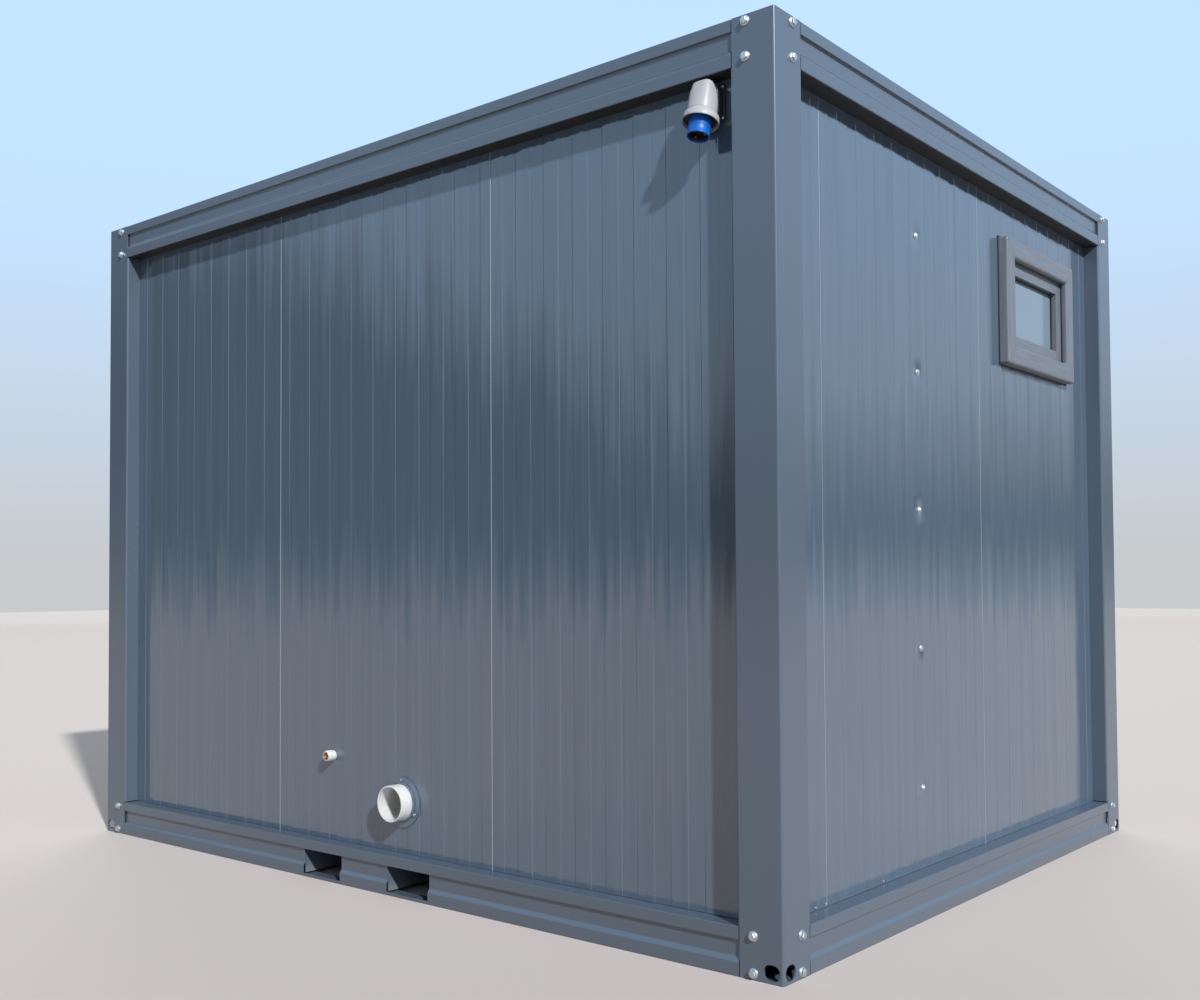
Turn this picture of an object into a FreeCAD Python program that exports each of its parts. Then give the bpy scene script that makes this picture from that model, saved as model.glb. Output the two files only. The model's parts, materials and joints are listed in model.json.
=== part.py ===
import FreeCAD, Part
import math
import os

import Sketcher
from FreeCAD import Placement, Rotation, Vector

# A three metre toilet container: bolted steel frame, sandwich panel walls,
# floor and roof, one cubicle with a toilet and a washroom with a basin.
# X runs along the long walls, the wall with the services faces -Y,
# the wall with the window faces +X, and Z is up from the ground.

DRIVING_SIZES = {
    # steel frame
    "frame_length": 2990,
    "frame_width": 2435,
    "frame_height": 2320,
    "frame_steel": 4,
    "post_face": 126,
    "post_end_face": 121,
    "post_plate": 6,
    "post_bend": 6,
    "rail_height": 120,
    "rail_end_gap": 3,
    "rail_groove": 8,
    "rail_lower_band": 34,
    "rail_slope": 12,
    "rail_upper_band": 32,
    "rail_edge_flange": 60,
    "tongue_length": 150,
    "tongue_height": 18,
    "tongue_thickness": 8,
    "tongue_inset": 58,
    "bolt_inset": 82,
    "bolt_radius": 6,
    "bolt_grip": 26,
    "bolt_head_radius": 11,
    "bolt_head_height": 8,
    "washer_radius": 12.5,
    "washer_thickness": 2.5,
    "corner_hole_radius": 19,
    "corner_hole_length": 46,
    "corner_hole_inset": 32,
    "corner_hole_height": 26,
    # floor and roof
    "fork_spacing": 400,
    "fork_width": 184,
    "fork_sill": 10,
    "joist_width": 60,
    "joist_height": 96,
    "joist_wall": 3,
    "joist_first": 550,
    "joist_pitch": 350,
    "deck_thickness": 21,
    "roof_inset": 64,
    "ceiling_thickness": 60,
    "roof_sheet_thickness": 1.5,
    "roof_rib_height": 20,
    "roof_rib_width": 60,
    "roof_rib_pitch": 250,
    # wall panels
    "panel_recess": 53,
    "panel_thickness": 60,
    "panel_gap": 1,
    "fit_gap": 0.5,
    "rib_pitch": 106,
    "rib_width": 53,
    "rib_first": 46,
    "rib_depth": 0.95,
    "rib_flank": 2,
    "panel_module": 988,
    "rear_joint_left": -482,
    "rear_joint_right": 507,
    "side_first_module": 300,
    "side_last_module": 1128,
    "front_joint": -560,
    "screw_pitch": 400,
    "screw_first_height": 350,
    "screw_head_radius": 10,
    "screw_head_height": 4,
    "screw_dome_radius": 6.5,
    "screw_crown_radius": 4,
    # entrance door
    "door_corner_distance": 695,
    "door_width": 860,
    "door_head": 66,
    "door_thickness": 45,
    "door_gap": 4,
    "door_frame_face": 46,
    "door_frame_proud": 2,
    "door_sill": 20,
    "door_stop": 15,
    "door_lever_height": 1050,
    "door_lever_inset": 60,
    # hinges and handles
    "hinge_radius": 9,
    "hinge_pin_radius": 5,
    "hinge_half": 40,
    "hinge_plate_width": 34,
    "hinge_plate_thickness": 3,
    "hinge_end_inset": 250,
    "hinge_stand": 1,
    "running_clearance": 0.05,
    "spindle_radius": 5,
    "lever_radius": 9,
    "lever_reach": 42,
    "lever_length": 120,
    "face_clearance": 0.3,
    # window
    "window_corner_distance": 650,
    "window_drop": 337,
    "window_width": 610,
    "window_height": 420,
    "window_face": 65,
    "window_depth": 70,
    "window_proud": 33,
    "window_reveal": 25,
    "sash_overlap": 18,
    "sash_gap": 6,
    "sash_face": 54,
    "sash_depth": 52,
    "sash_seal": 0.5,
    "pane_thickness": 24,
    "pane_setback": 20,
    "window_pivot_inset": 5,
    "window_pivot_radius": 3,
    "window_handle_length": 110,
    "window_handle_radius": 12,
    "window_handle_stand": 8,
    "window_spindle_length": 24,
    # inner walls
    "cubicle_width": 733,
    "cubicle_front_line": -8,
    "partition_thickness": 40,
    "pilaster_rear": 90,
    "pilaster_front": 90,
    "cubicle_door_head": 105,
    "cubicle_door_thickness": 30,
    "cubicle_door_rise": 12,
    "knob_height": 1050,
    "knob_inset": 50,
    "knob_radius": 18,
    "knob_stand": 20,
    "knob_bar_length": 75,
    "knob_bar_width": 20,
    "knob_bar_thickness": 8,
    "knob_bar_gap": 1.5,
    # toilet
    "rim_height": 400,
    "pedestal_depth": 200,
    "pedestal_width": 180,
    "bowl_centre": 410,
    "bowl_length": 460,
    "bowl_width": 360,
    "bowl_foot_length": 380,
    "bowl_foot_width": 210,
    "bowl_foot_shift": 60,
    "bowl_waist_height": 140,
    "bowl_shoulder_length": 420,
    "bowl_shoulder_width": 325,
    "bowl_shoulder_height": 300,
    "bowl_brim": 32,
    "bowl_wall": 45,
    "bowl_depth": 250,
    "bowl_neck_length": 130,
    "bowl_neck_width": 110,
    "bowl_neck_shift": 30,
    "bowl_slope_height": 100,
    "bowl_slope_inset": 28,
    "outlet_inset": 100,
    "outlet_boss": 20,
    "seat_thickness": 18,
    "seat_hinge_inset": 236,
    "seat_hinge_height": 12,
    "seat_opening_length": 300,
    "seat_opening_width": 230,
    "seat_barrel_length": 124,
    "seat_post_width": 28,
    "seat_post_length": 24,
    "cistern_depth": 170,
    "cistern_width": 370,
    "cistern_height": 380,
    "button_radius": 24,
    "button_proud": 6,
    "button_seat": 12,
    # washbasin
    "basin_door_clearance": 572,
    "basin_rim": 850,
    "basin_width": 500,
    "basin_depth": 400,
    "basin_height": 150,
    "basin_bowl_length": 400,
    "basin_bowl_width": 270,
    "basin_bowl_depth": 115,
    "basin_bowl_centre": 235,
    "basin_slope_depth": 70,
    "basin_slope_inset": 18,
    "basin_floor_length": 200,
    "basin_floor_width": 120,
    "tap_inset": 50,
    "tap_radius": 22,
    "tap_height": 80,
    "tap_spout_length": 120,
    "tap_spout_radius": 11,
    "tap_spout_rise": 60,
    "tap_boss_radius": 12,
    "tap_boss_height": 15,
    "tap_cap_height": 25,
    "tap_lever_length": 90,
    # services
    "waste_position": 125,
    "waste_height": 276,
    "waste_radius": 55,
    "waste_wall": 3.4,
    "waste_run": 160,
    "waste_bend": 75,
    "waste_flange_radius": 78,
    "waste_flange_thickness": 4,
    "waste_screw_circle": 67,
    "waste_seal_radius": 59,
    "waste_seal_width": 4,
    "trap_pipe_radius": 16,
    "trap_elbow_radius": 20,
    "trap_bottle_radius": 32,
    "trap_bottle_height": 80,
    "trap_drop": 300,
    "trap_wall_distance": 52,
    "water_position": -202,
    "water_height": 391,
    "water_collar_radius": 17.5,
    "water_collar_length": 33,
    "water_thread_radius": 9.3,
    "water_insert_radius": 12.5,
    "water_insert_depth": 20,
    "water_pipe_radius": 11,
    "water_elbow_radius": 14,
    "water_pipe_distance": 18,
    "water_riser_offset": 100,
    "cistern_riser": 82,
    "cistern_feed": 250,
    "inlet_corner_distance": 211,
    "inlet_drop": 107,
    "inlet_outreach": 3,
    "inlet_collar_radius": 47.5,
    "inlet_collar_height": 24,
    "inlet_recess_radius": 41,
    "inlet_recess_depth": 14,
    "inlet_body_radius": 39,
    "inlet_top_radius": 28,
    "inlet_body_length": 95,
    "inlet_shroud_radius": 28.75,
    "inlet_shroud_wall": 3.5,
    "inlet_shroud_length": 52,
    "inlet_disc_thickness": 4,
    "inlet_pin_radius": 3,
    "inlet_pin_circle": 16,
    "inlet_pin_length": 38,
    "inlet_box_width": 68,
    "inlet_box_depth": 33,
    "inlet_box_height": 74,
    "inlet_box_rise": 13,
    "board_corner_gap": 57,
    "board_ceiling_gap": 254,
    "board_width": 250,
    "board_tall": 350,
    "board_depth": 90,
    "light_length": 600,
    "light_width": 120,
    "light_depth": 60,
}

INLET_TILT = 15
FRONT_HINGES = 3
CUBICLE_HINGES = 2
JOIST_PAIRS = 3
PARTITION_SCREWS = 5
FLANGE_SCREWS = 3
INLET_PINS = 3
HEXAGON_SIDES = 6
FULL_TURN = 360
HALF_TURN = 180
QUARTER_TURN = 90
SAME_PLACE = 1e-6

doc = FreeCAD.newDocument("ToiletContainer")
sheet = doc.addObject("Spreadsheet::Sheet", "Sizes")
for row, (alias, number) in enumerate(DRIVING_SIZES.items(), start=1):
    sheet.set(f"A{row}", alias)
    sheet.set(f"B{row}", str(number))
    sheet.setAlias(f"B{row}", alias)
doc.recompute()


class Size:
    """A length together with the spreadsheet formula that gives it."""

    def __init__(self, value, formula):
        self.value = float(value)
        self.formula = formula

    def __add__(self, other):
        other = as_size(other)
        return Size(self.value + other.value, f"({self.formula} + {other.formula})")

    def __radd__(self, other):
        return as_size(other) + self

    def __sub__(self, other):
        other = as_size(other)
        return Size(self.value - other.value, f"({self.formula} - {other.formula})")

    def __rsub__(self, other):
        return as_size(other) - self

    def __mul__(self, factor):
        return Size(self.value * factor, f"({self.formula} * {factor})")

    __rmul__ = __mul__

    def __truediv__(self, divisor):
        return Size(self.value / divisor, f"({self.formula} / {divisor})")

    def __neg__(self):
        return self * -1


def as_size(amount):
    if isinstance(amount, Size):
        return amount
    return Size(amount, f"({float(amount)})")


class SheetSizes:
    """Every alias of the sheet as a Size."""

    def __getattr__(self, alias):
        return Size(sheet.get(alias), f"Sizes.{alias}")


S = SheetSizes()
ORIGIN = (0, 0, 0)
UPRIGHT = Rotation()

# Derived places, shared by the pieces that meet there
half_length = S.frame_length / 2
half_width = S.frame_width / 2
panel_inner = S.panel_recess + S.panel_thickness
panel_bottom = S.rail_height
panel_top = S.frame_height - S.rail_height
roof_rail_base = panel_top
rear_face = panel_inner - half_width
right_face = half_length - panel_inner
joist_top = S.rail_height - S.frame_steel
floor_top = joist_top + S.deck_thickness
ceiling = roof_rail_base + S.frame_steel
groove_top = S.rail_height - S.rail_upper_band
web_inner = S.rail_groove + S.frame_steel
side_joint_near = S.side_first_module - half_width
side_joint_far = half_width - S.side_last_module
door_line = half_length - S.door_corner_distance
window_line = half_width - S.window_corner_distance
window_level = panel_top - S.window_drop
inlet_line = half_length - S.inlet_corner_distance
inlet_level = panel_top - S.inlet_drop

# The four walls as seen from outside: turn about Z, half its run, half the depth across
SIDES = {
    "rear": (0, half_length, half_width),
    "right": (QUARTER_TURN, half_width, half_length),
    "front": (HALF_TURN, half_length, half_width),
    "left": (-QUARTER_TURN, half_width, half_length),
}


def bind(item, name, amount):
    item.setExpression(name, as_size(amount).formula)


def place(item, at=ORIGIN, turn=UPRIGHT):
    """Put an object at a bound point, turned as given."""
    point = [as_size(amount) for amount in at]
    item.Placement = Placement(Vector(*[amount.value for amount in point]), turn)
    for axis, amount in zip("xyz", point):
        bind(item, f"Placement.Base.{axis}", amount)
    return item


def on_side(item, side, along=0, up=0):
    """Put an object drawn as (along the wall, inward from the frame's face, up) on a wall."""
    turn, _, across = SIDES[side]
    along = as_size(along)
    spots = {
        "rear": (along, -across, up),
        "right": (across, along, up),
        "front": (-along, across, up),
        "left": (-across, -along, up),
    }
    return place(item, spots[side], Rotation(Vector(0, 0, 1), turn))


def box(label, low, high):
    """A block between two corners."""
    item = doc.addObject("Part::Box", label)
    item.Label = label
    for name, start, end in zip(("Length", "Width", "Height"), low, high):
        bind(item, name, as_size(end) - start)
    return place(item, low)


AXES = {
    "x": Rotation(Vector(0, 1, 0), QUARTER_TURN),
    "y": Rotation(Vector(1, 0, 0), -QUARTER_TURN),
    "z": UPRIGHT,
}


def rod(label, radius, length, start=ORIGIN, axis="z"):
    """A cylinder from a point along an axis."""
    item = doc.addObject("Part::Cylinder", label)
    item.Label = label
    bind(item, "Radius", radius)
    bind(item, "Height", length)
    return place(item, start, AXES[axis])


def cone(label, radius, end_radius, length, start=ORIGIN, axis="z"):
    item = doc.addObject("Part::Cone", label)
    item.Label = label
    bind(item, "Radius1", radius)
    bind(item, "Radius2", end_radius)
    bind(item, "Height", length)
    return place(item, start, AXES[axis])


def ball(label, radius, centre):
    item = doc.addObject("Part::Sphere", label)
    item.Label = label
    bind(item, "Radius", radius)
    return place(item, centre)


def hexagon(label, radius, length, start=ORIGIN, axis="z"):
    item = doc.addObject("Part::Prism", label)
    item.Label = label
    item.Polygon = HEXAGON_SIDES
    bind(item, "Circumradius", radius)
    bind(item, "Height", length)
    return place(item, start, AXES[axis])


def joined(label, items):
    item = doc.addObject("Part::MultiFuse", label)
    item.Label = label
    item.Shapes = items
    return item


def cut(label, base, tools):
    item = doc.addObject("Part::Cut", label)
    item.Label = label
    item.Base = base
    item.Tool = tools[0] if len(tools) == 1 else joined(f"{label}_cutter", tools)
    return item


def group(label, items):
    """Separate solids that share one file."""
    item = doc.addObject("Part::Compound", label)
    item.Label = label
    item.Links = items
    return item


def new_body(label):
    body = doc.addObject("PartDesign::Body", label)
    body.Label = label
    return body


def origin_feature(body, role):
    return next(item for item in body.Origin.OriginFeatures if item.Role == role)


def outline(body, role, corners, offset=0):
    """A closed sketch whose corners are bound to the sheet."""
    sketch = body.newObject("Sketcher::SketchObject", f"{body.Label}_outline")
    sketch.AttachmentSupport = [(origin_feature(body, role), "")]
    sketch.MapMode = "FlatFace"
    bind(sketch, "AttachmentOffset.Base.z", offset)
    points = [(as_size(first), as_size(second)) for first, second in corners]
    ends = [Vector(first.value, second.value, 0) for first, second in points]
    count = len(points)
    for index in range(count):
        sketch.addGeometry(Part.LineSegment(ends[index], ends[(index + 1) % count]))
    for index in range(count):
        sketch.addConstraint(Sketcher.Constraint("Coincident", index, 2, (index + 1) % count, 1))
    for index, point in enumerate(points):
        for kind, amount in zip(("DistanceX", "DistanceY"), point):
            rule = sketch.addConstraint(Sketcher.Constraint(kind, -1, 1, index, 1, amount.value))
            sketch.setExpression(f"Constraints[{rule}]", amount.formula)
    return sketch


def pad(body, sketch, length, symmetric=False):
    feature = body.newObject("PartDesign::Pad", f"{body.Label}_pad")
    feature.Profile = sketch
    bind(feature, "Length", length)
    if symmetric:
        feature.SideType = "Symmetric"
    return feature


def pocket(body, sketch, length, reverse=False):
    """A pocket that has to take something away."""
    before = body.Shape.Volume
    feature = body.newObject("PartDesign::Pocket", f"{body.Label}_pocket")
    feature.Profile = sketch
    feature.Reversed = reverse
    bind(feature, "Length", length)
    doc.recompute()
    if not feature.Shape.Volume < before:
        raise ValueError(f"{body.Label}: a pocket cuts nothing")
    return feature


def rounded(body, base, radius, wanted):
    """Round the edges of a body that a test picks out."""
    names = [f"Edge{index}" for index, edge in enumerate(base.Shape.Edges, start=1) if wanted(edge)]
    feature = body.newObject("PartDesign::Fillet", f"{body.Label}_bend")
    feature.Base = (base, names)
    bind(feature, "Radius", radius)
    body.Tip = feature
    return feature


def hole_sketch(body, role, centres, radius):
    """Circles of one radius, with bound centres."""
    sketch = body.newObject("Sketcher::SketchObject", f"{body.Label}_holes")
    sketch.AttachmentSupport = [(origin_feature(body, role), "")]
    sketch.MapMode = "FlatFace"
    for index, (first, second) in enumerate(centres):
        spot = (as_size(first), as_size(second))
        middle = Vector(spot[0].value, spot[1].value, 0)
        sketch.addGeometry(Part.Circle(middle, Vector(0, 0, 1), radius.value))
        for kind, amount in zip(("DistanceX", "DistanceY"), spot):
            rule = sketch.addConstraint(Sketcher.Constraint(kind, -1, 1, index, 3, amount.value))
            sketch.setExpression(f"Constraints[{rule}]", amount.formula)
        rule = sketch.addConstraint(Sketcher.Constraint("Radius", index, radius.value))
        sketch.setExpression(f"Constraints[{rule}]", radius.formula)
    return sketch


def vertical_edge_at(edge, x_place, y_place):
    ends = edge.Vertexes
    if len(ends) != 2 or abs(ends[0].Z - ends[1].Z) < S.post_face.value:
        return False
    return all(abs(end.X - x_place) < SAME_PLACE and abs(end.Y - y_place) < SAME_PLACE for end in ends)


# Heights of the two bolts at each rail end, in the middle of the rail's two flat bands
BOLT_LEVELS = (S.rail_lower_band / 2, S.rail_height - S.rail_upper_band / 2)
RAIL_BASES = {"bottom": as_size(0), "roof": roof_rail_base}


def lashing_hole(body, role, middle):
    """A round-ended slot near the foot of a post."""
    radius = S.corner_hole_radius
    level = S.corner_hole_height
    reach = S.corner_hole_length / 2 - radius
    for end in (middle - reach, middle + reach):
        pocket(body, hole_sketch(body, role, [(end, level)], radius), S.frame_steel)
    between = [
        (middle - reach, level - radius), (middle + reach, level - radius),
        (middle + reach, level + radius), (middle - reach, level + radius),
    ]
    pocket(body, outline(body, role, between), S.frame_steel)


def corner_post(label, side):
    """A folded post at the right-hand end of a wall, narrower where the rails meet it."""
    body = new_body(label)
    steel = S.frame_steel
    end_face = S.post_end_face
    face = S.post_face
    lip = S.panel_recess - S.fit_gap
    angle = [
        (0, 0), (0, end_face), (-steel, end_face),
        (-steel, steel), (-end_face, steel), (-end_face, 0),
    ]
    pad(body, outline(body, "XY_Plane", angle), S.frame_height)
    folded = [
        (0, 0), (0, face), (-lip, face), (-lip, face - steel), (-steel, face - steel),
        (-steel, steel), (steel - face, steel), (steel - face, lip), (-face, lip), (-face, 0),
    ]
    start = S.rail_height + S.rail_end_gap
    pad(body, outline(body, "XY_Plane", folded, start), S.frame_height - start * 2)
    plate = [(0, 0), (0, end_face), (-end_face, end_face), (-end_face, 0)]
    pad(body, outline(body, "XY_Plane", plate), S.post_plate)
    cap = outline(body, "XY_Plane", plate, S.frame_height - S.post_plate)
    top = pad(body, cap, S.post_plate)
    doc.recompute()
    spots = ((0, 0), (-face.value, 0), (0, face.value))
    rounded(body, top, S.post_bend, lambda edge: any(vertical_edge_at(edge, *spot) for spot in spots))
    doc.recompute()
    levels = [base + level for base in RAIL_BASES.values() for level in BOLT_LEVELS]
    hole = S.bolt_radius + S.running_clearance
    bolts = [(-S.bolt_inset, level) for level in levels]
    pocket(body, hole_sketch(body, "XZ_Plane", bolts, hole), steel)
    side_bolts = [(S.bolt_inset, level) for level in levels]
    pocket(body, hole_sketch(body, "YZ_Plane", side_bolts, hole), steel)
    lashing_hole(body, "XZ_Plane", -S.corner_hole_inset)
    lashing_hole(body, "YZ_Plane", S.corner_hole_inset)
    return on_side(body, side, SIDES[side][1])


def fold_return(thickness, across, up):
    """How far the inside of a folded sheet lies below the fold on its outside."""
    half_angle = math.atan2(across.value, up.value) / 2
    formula = f"({thickness.formula} * tan(atan({across.formula} / {up.formula}) / 2))"
    return Size(thickness.value * math.tan(half_angle), formula)


def rail_section(lower_flange, upper_flange):
    """A folded rail as (inward, up): two flat bands with a groove between them."""
    steel = S.frame_steel
    depth = S.rail_groove
    band = S.rail_lower_band
    tall = S.rail_height
    slope_top = band + S.rail_slope
    turn = fold_return(steel, depth, S.rail_slope)
    return [
        (lower_flange, 0), (0, 0), (0, band), (depth, slope_top), (depth, groove_top),
        (0, groove_top), (0, tall), (upper_flange, tall), (upper_flange, tall - steel),
        (steel, tall - steel), (steel, groove_top + steel), (web_inner, groove_top + steel),
        (web_inner, slope_top - turn), (steel, band - turn), (steel, steel), (lower_flange, steel),
    ]


def rail_length(side):
    return (SIDES[side][1] - S.post_end_face - S.rail_end_gap) * 2


def rail(level, side):
    body = new_body(f"{level}_rail_{side}")
    flanges = (S.rail_edge_flange, panel_inner)
    if level == "roof":
        flanges = (panel_inner, S.rail_edge_flange)
    pad(body, outline(body, "YZ_Plane", rail_section(*flanges)), rail_length(side), symmetric=True)
    doc.recompute()
    if level == "bottom" and side in ("rear", "front"):
        for spot in (S.fork_spacing / 2, -S.fork_spacing / 2):
            half = S.fork_width / 2
            mouth = [
                (spot - half, S.fork_sill), (spot + half, S.fork_sill),
                (spot + half, groove_top), (spot - half, groove_top),
            ]
            pocket(body, outline(body, "XZ_Plane", mouth), web_inner)
    return on_side(body, side, 0, RAIL_BASES[level])


def rail_tongues():
    """Flat bars behind each rail end that the frame bolts screw into."""
    bars = []
    for side, (_, half, _) in SIDES.items():
        for end in (1, -1):
            for base in RAIL_BASES.values():
                for level in BOLT_LEVELS:
                    tip = half - S.tongue_inset
                    span = (tip - S.tongue_length, tip) if end > 0 else (-tip, S.tongue_length - tip)
                    low = (span[0], S.frame_steel, level - S.tongue_height / 2)
                    high = (span[1], S.frame_steel + S.tongue_thickness, level + S.tongue_height / 2)
                    name = f"tongue_{len(bars)}"
                    bar = box(f"{name}_bar", low, high)
                    bore = rod(
                        f"{name}_bore", S.bolt_radius + S.running_clearance, S.tongue_thickness,
                        ((half - S.bolt_inset) * end, S.frame_steel, level), "y",
                    )
                    bars.append(on_side(cut(name, bar, [bore]), side, 0, base))
    return group("rail_tongues", bars)


def frame_bolts():
    """Hex bolts with washers, two through each face of a post at every rail end."""
    bolts = []
    for side, (_, half, _) in SIDES.items():
        for end in (1, -1):
            for base in RAIL_BASES.values():
                for level in BOLT_LEVELS:
                    name = f"bolt_{len(bolts)}"
                    spot = (half - S.bolt_inset) * end
                    washer_face = -S.washer_thickness
                    washer = rod(
                        f"{name}_washer", S.washer_radius, S.washer_thickness,
                        (spot, washer_face, level), "y",
                    )
                    head = hexagon(
                        f"{name}_head", S.bolt_head_radius, S.bolt_head_height,
                        (spot, washer_face - S.bolt_head_height, level), "y",
                    )
                    shank = rod(f"{name}_shank", S.bolt_radius, S.bolt_grip, (spot, 0, level), "y")
                    bolts.append(on_side(joined(name, [washer, head, shank]), side, 0, base))
    return group("frame_bolts", bolts)


def fork_tunnels():
    """Two channels, open below, that guide the forks from one long rail to the other."""
    tunnels = []
    wall = S.frame_steel
    half = S.fork_width / 2
    for index, sign in enumerate((1, -1)):
        body = new_body(f"fork_tunnel_{index}")
        channel = [
            (-half - wall, S.fork_sill), (-half, S.fork_sill), (-half, groove_top), (half, groove_top),
            (half, S.fork_sill), (half + wall, S.fork_sill), (half + wall, groove_top + wall),
            (-half - wall, groove_top + wall),
        ]
        pad(body, outline(body, "XZ_Plane", channel), (half_width - web_inner) * 2, symmetric=True)
        tunnels.append(place(body, (S.fork_spacing / 2 * sign, 0, 0)))
    return group("fork_tunnels", tunnels)


def floor_joists():
    spots = [as_size(0)]
    for step in range(JOIST_PAIRS):
        spots += [S.joist_first + S.joist_pitch * step, -S.joist_first - S.joist_pitch * step]
    reach = half_width - web_inner
    wall = S.joist_wall
    tubes = []
    for index, spot in enumerate(spots):
        half = S.joist_width / 2
        bottom = joist_top - S.joist_height
        outer = box(f"joist_{index}_outer", (spot - half, -reach, bottom), (spot + half, reach, joist_top))
        inner = box(
            f"joist_{index}_bore", (spot - half + wall, -reach, bottom + wall),
            (spot + half - wall, reach, joist_top - wall),
        )
        tubes.append(cut(f"joist_{index}", outer, [inner]))
    return group("floor_joists", tubes)


def floor_deck():
    edge = panel_inner + S.fit_gap
    low = (edge - half_length, edge - half_width, joist_top)
    return box("floor_deck", low, (half_length - edge, half_width - edge, floor_top))


def ceiling_panels():
    """Three sandwich panels side by side on the roof rails' inner flanges."""
    reach = half_length - S.roof_inset
    depth = half_width - S.roof_inset
    joints = [-reach, S.rear_joint_left, S.rear_joint_right, reach]
    top = ceiling + S.ceiling_thickness
    panels = []
    for index in range(len(joints) - 1):
        start = joints[index] + (S.panel_gap if index else 0)
        low = (start, -depth, ceiling)
        panels.append(box(f"ceiling_panel_{index}", low, (joints[index + 1], depth, top)))
    return group("ceiling_panels", panels)


def roof_sheet():
    """Ribbed weather sheet on the ceiling panels."""
    body = new_body("roof_sheet")
    reach = half_length - S.roof_inset
    depth = half_width - S.roof_inset
    base = ceiling + S.ceiling_thickness
    top = base + S.roof_sheet_thickness
    flat = [(-reach, base), (reach, base), (reach, top), (-reach, top)]
    pad(body, outline(body, "XZ_Plane", flat), depth * 2, symmetric=True)
    count = int((reach * 2 - S.roof_rib_width).value / S.roof_rib_pitch.value)
    start = -(S.roof_rib_pitch * (count - 1) + S.roof_rib_width) / 2
    shoulder = S.roof_rib_height / 2
    crest = top + S.roof_rib_height
    rib = [
        (start, top), (start + S.roof_rib_width, top),
        (start + S.roof_rib_width - shoulder, crest), (start + shoulder, crest),
    ]
    ridge = pad(body, outline(body, "XZ_Plane", rib), depth * 2, symmetric=True)
    doc.recompute()
    repeat(body, ridge, "X_Axis", S.roof_rib_pitch, count)
    return body


def repeat(body, feature, role, pitch, count):
    """Repeat a feature in a row."""
    pattern = body.newObject("PartDesign::LinearPattern", f"{body.Label}_row")
    pattern.Originals = [feature]
    pattern.Direction = (origin_feature(body, role), [""])
    pattern.Occurrences = count
    bind(pattern, "Length", pitch * (count - 1))
    body.Tip = pattern
    return pattern


def wall_panel(label, side, start, end, module_start):
    """A sandwich panel with shallow vertical bands rolled into its outer skin."""
    body = new_body(label)
    front = S.panel_recess
    slab = [(start, front), (end, front), (end, panel_inner), (start, panel_inner)]
    pad(body, outline(body, "XY_Plane", slab), panel_top - panel_bottom)
    doc.recompute()
    first = module_start + S.rib_first
    while first.value < start.value + S.rib_flank.value:
        first = first + S.rib_pitch
    room = end.value - S.rib_flank.value - (first + S.rib_width).value
    if room > 0:
        flank = S.rib_flank
        band = [
            (first, front), (first + S.rib_width, front),
            (first + S.rib_width - flank, front + S.rib_depth), (first + flank, front + S.rib_depth),
        ]
        sketch = outline(body, "XY_Plane", band)
        groove = pocket(body, sketch, panel_top - panel_bottom, reverse=True)
        count = 1 + int(room / S.rib_pitch.value)
        if count > 1:
            repeat(body, groove, "X_Axis", S.rib_pitch, count)
    return on_side(body, side, 0, panel_bottom)


# Places where the services and the window go through the walls
window_half_width = S.window_width / 2
window_half_height = S.window_height / 2
waste_bore = S.waste_radius + S.fit_gap
water_tail_radius = S.water_insert_radius


def rear_panels():
    corner = half_length - S.panel_recess - S.fit_gap
    left, right = S.rear_joint_left, S.rear_joint_right
    gap = S.panel_gap
    wall_panel("rear_panel_left", "rear", -corner, left - gap, left - S.panel_module)
    slab = wall_panel("rear_panel_slab", "rear", left, right - gap, left)
    holes = [
        rod("waste_hole", waste_bore, panel_inner, (S.waste_position, -half_width, S.waste_height), "y"),
        rod(
            "water_hole", water_tail_radius + S.fit_gap, panel_inner,
            (S.water_position, -half_width, S.water_height), "y",
        ),
    ]
    cut("rear_panel_middle", slab, holes)
    wall_panel("rear_panel_right", "rear", right, corner, right)


def side_panels():
    corner = half_width - panel_inner - S.fit_gap
    near, far = side_joint_near, side_joint_far
    gap = S.panel_gap
    wall_panel("side_panel_corner", "right", -corner, near - gap, near - S.panel_module)
    wall_panel("side_panel_middle", "right", near, far - gap, near)
    slab = wall_panel("side_panel_slab", "right", far, corner, far)
    wide = window_half_width + S.fit_gap
    tall = window_half_height + S.fit_gap
    hole = box(
        "window_hole", (half_length - panel_inner, window_line - wide, window_level - tall),
        (half_length, window_line + wide, window_level + tall),
    )
    cut("side_panel_window", slab, [hole])


def left_panels():
    corner = half_width - panel_inner - S.fit_gap
    near, far = -side_joint_far, -side_joint_near
    gap = S.panel_gap
    return group("left_panels", [
        wall_panel("left_panel_0", "left", -corner, near - gap, near - S.panel_module),
        wall_panel("left_panel_1", "left", near, far - gap, near),
        wall_panel("left_panel_2", "left", far, corner, far),
    ])


door_half = S.door_width / 2
door_frame_half = door_half + S.door_gap + S.door_frame_face


def front_panels():
    corner = half_length - S.panel_recess - S.fit_gap
    joint = S.front_joint
    gap = S.panel_gap
    near = door_line - door_frame_half - S.fit_gap
    far = door_line + door_frame_half + S.fit_gap
    return group("front_panels", [
        wall_panel("front_panel_0", "front", -corner, joint - gap, joint - S.panel_module),
        wall_panel("front_panel_1", "front", joint, near, joint),
        wall_panel("front_panel_2", "front", far, corner, far),
    ])


def panel_screw(name, along, height):
    """A dome screw on its washer, standing on the outer skin."""
    washer = rod(
        f"{name}_washer", S.screw_head_radius, S.screw_head_height / 2,
        (along, S.panel_recess - S.screw_head_height / 2, height), "y",
    )
    dome = cone(
        f"{name}_dome", S.screw_crown_radius, S.screw_dome_radius, S.screw_head_height / 2,
        (along, S.panel_recess - S.screw_head_height, height), "y",
    )
    return joined(name, [washer, dome])


partition_near = rear_face + S.cubicle_width
partition_far = partition_near + S.partition_thickness


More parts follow.
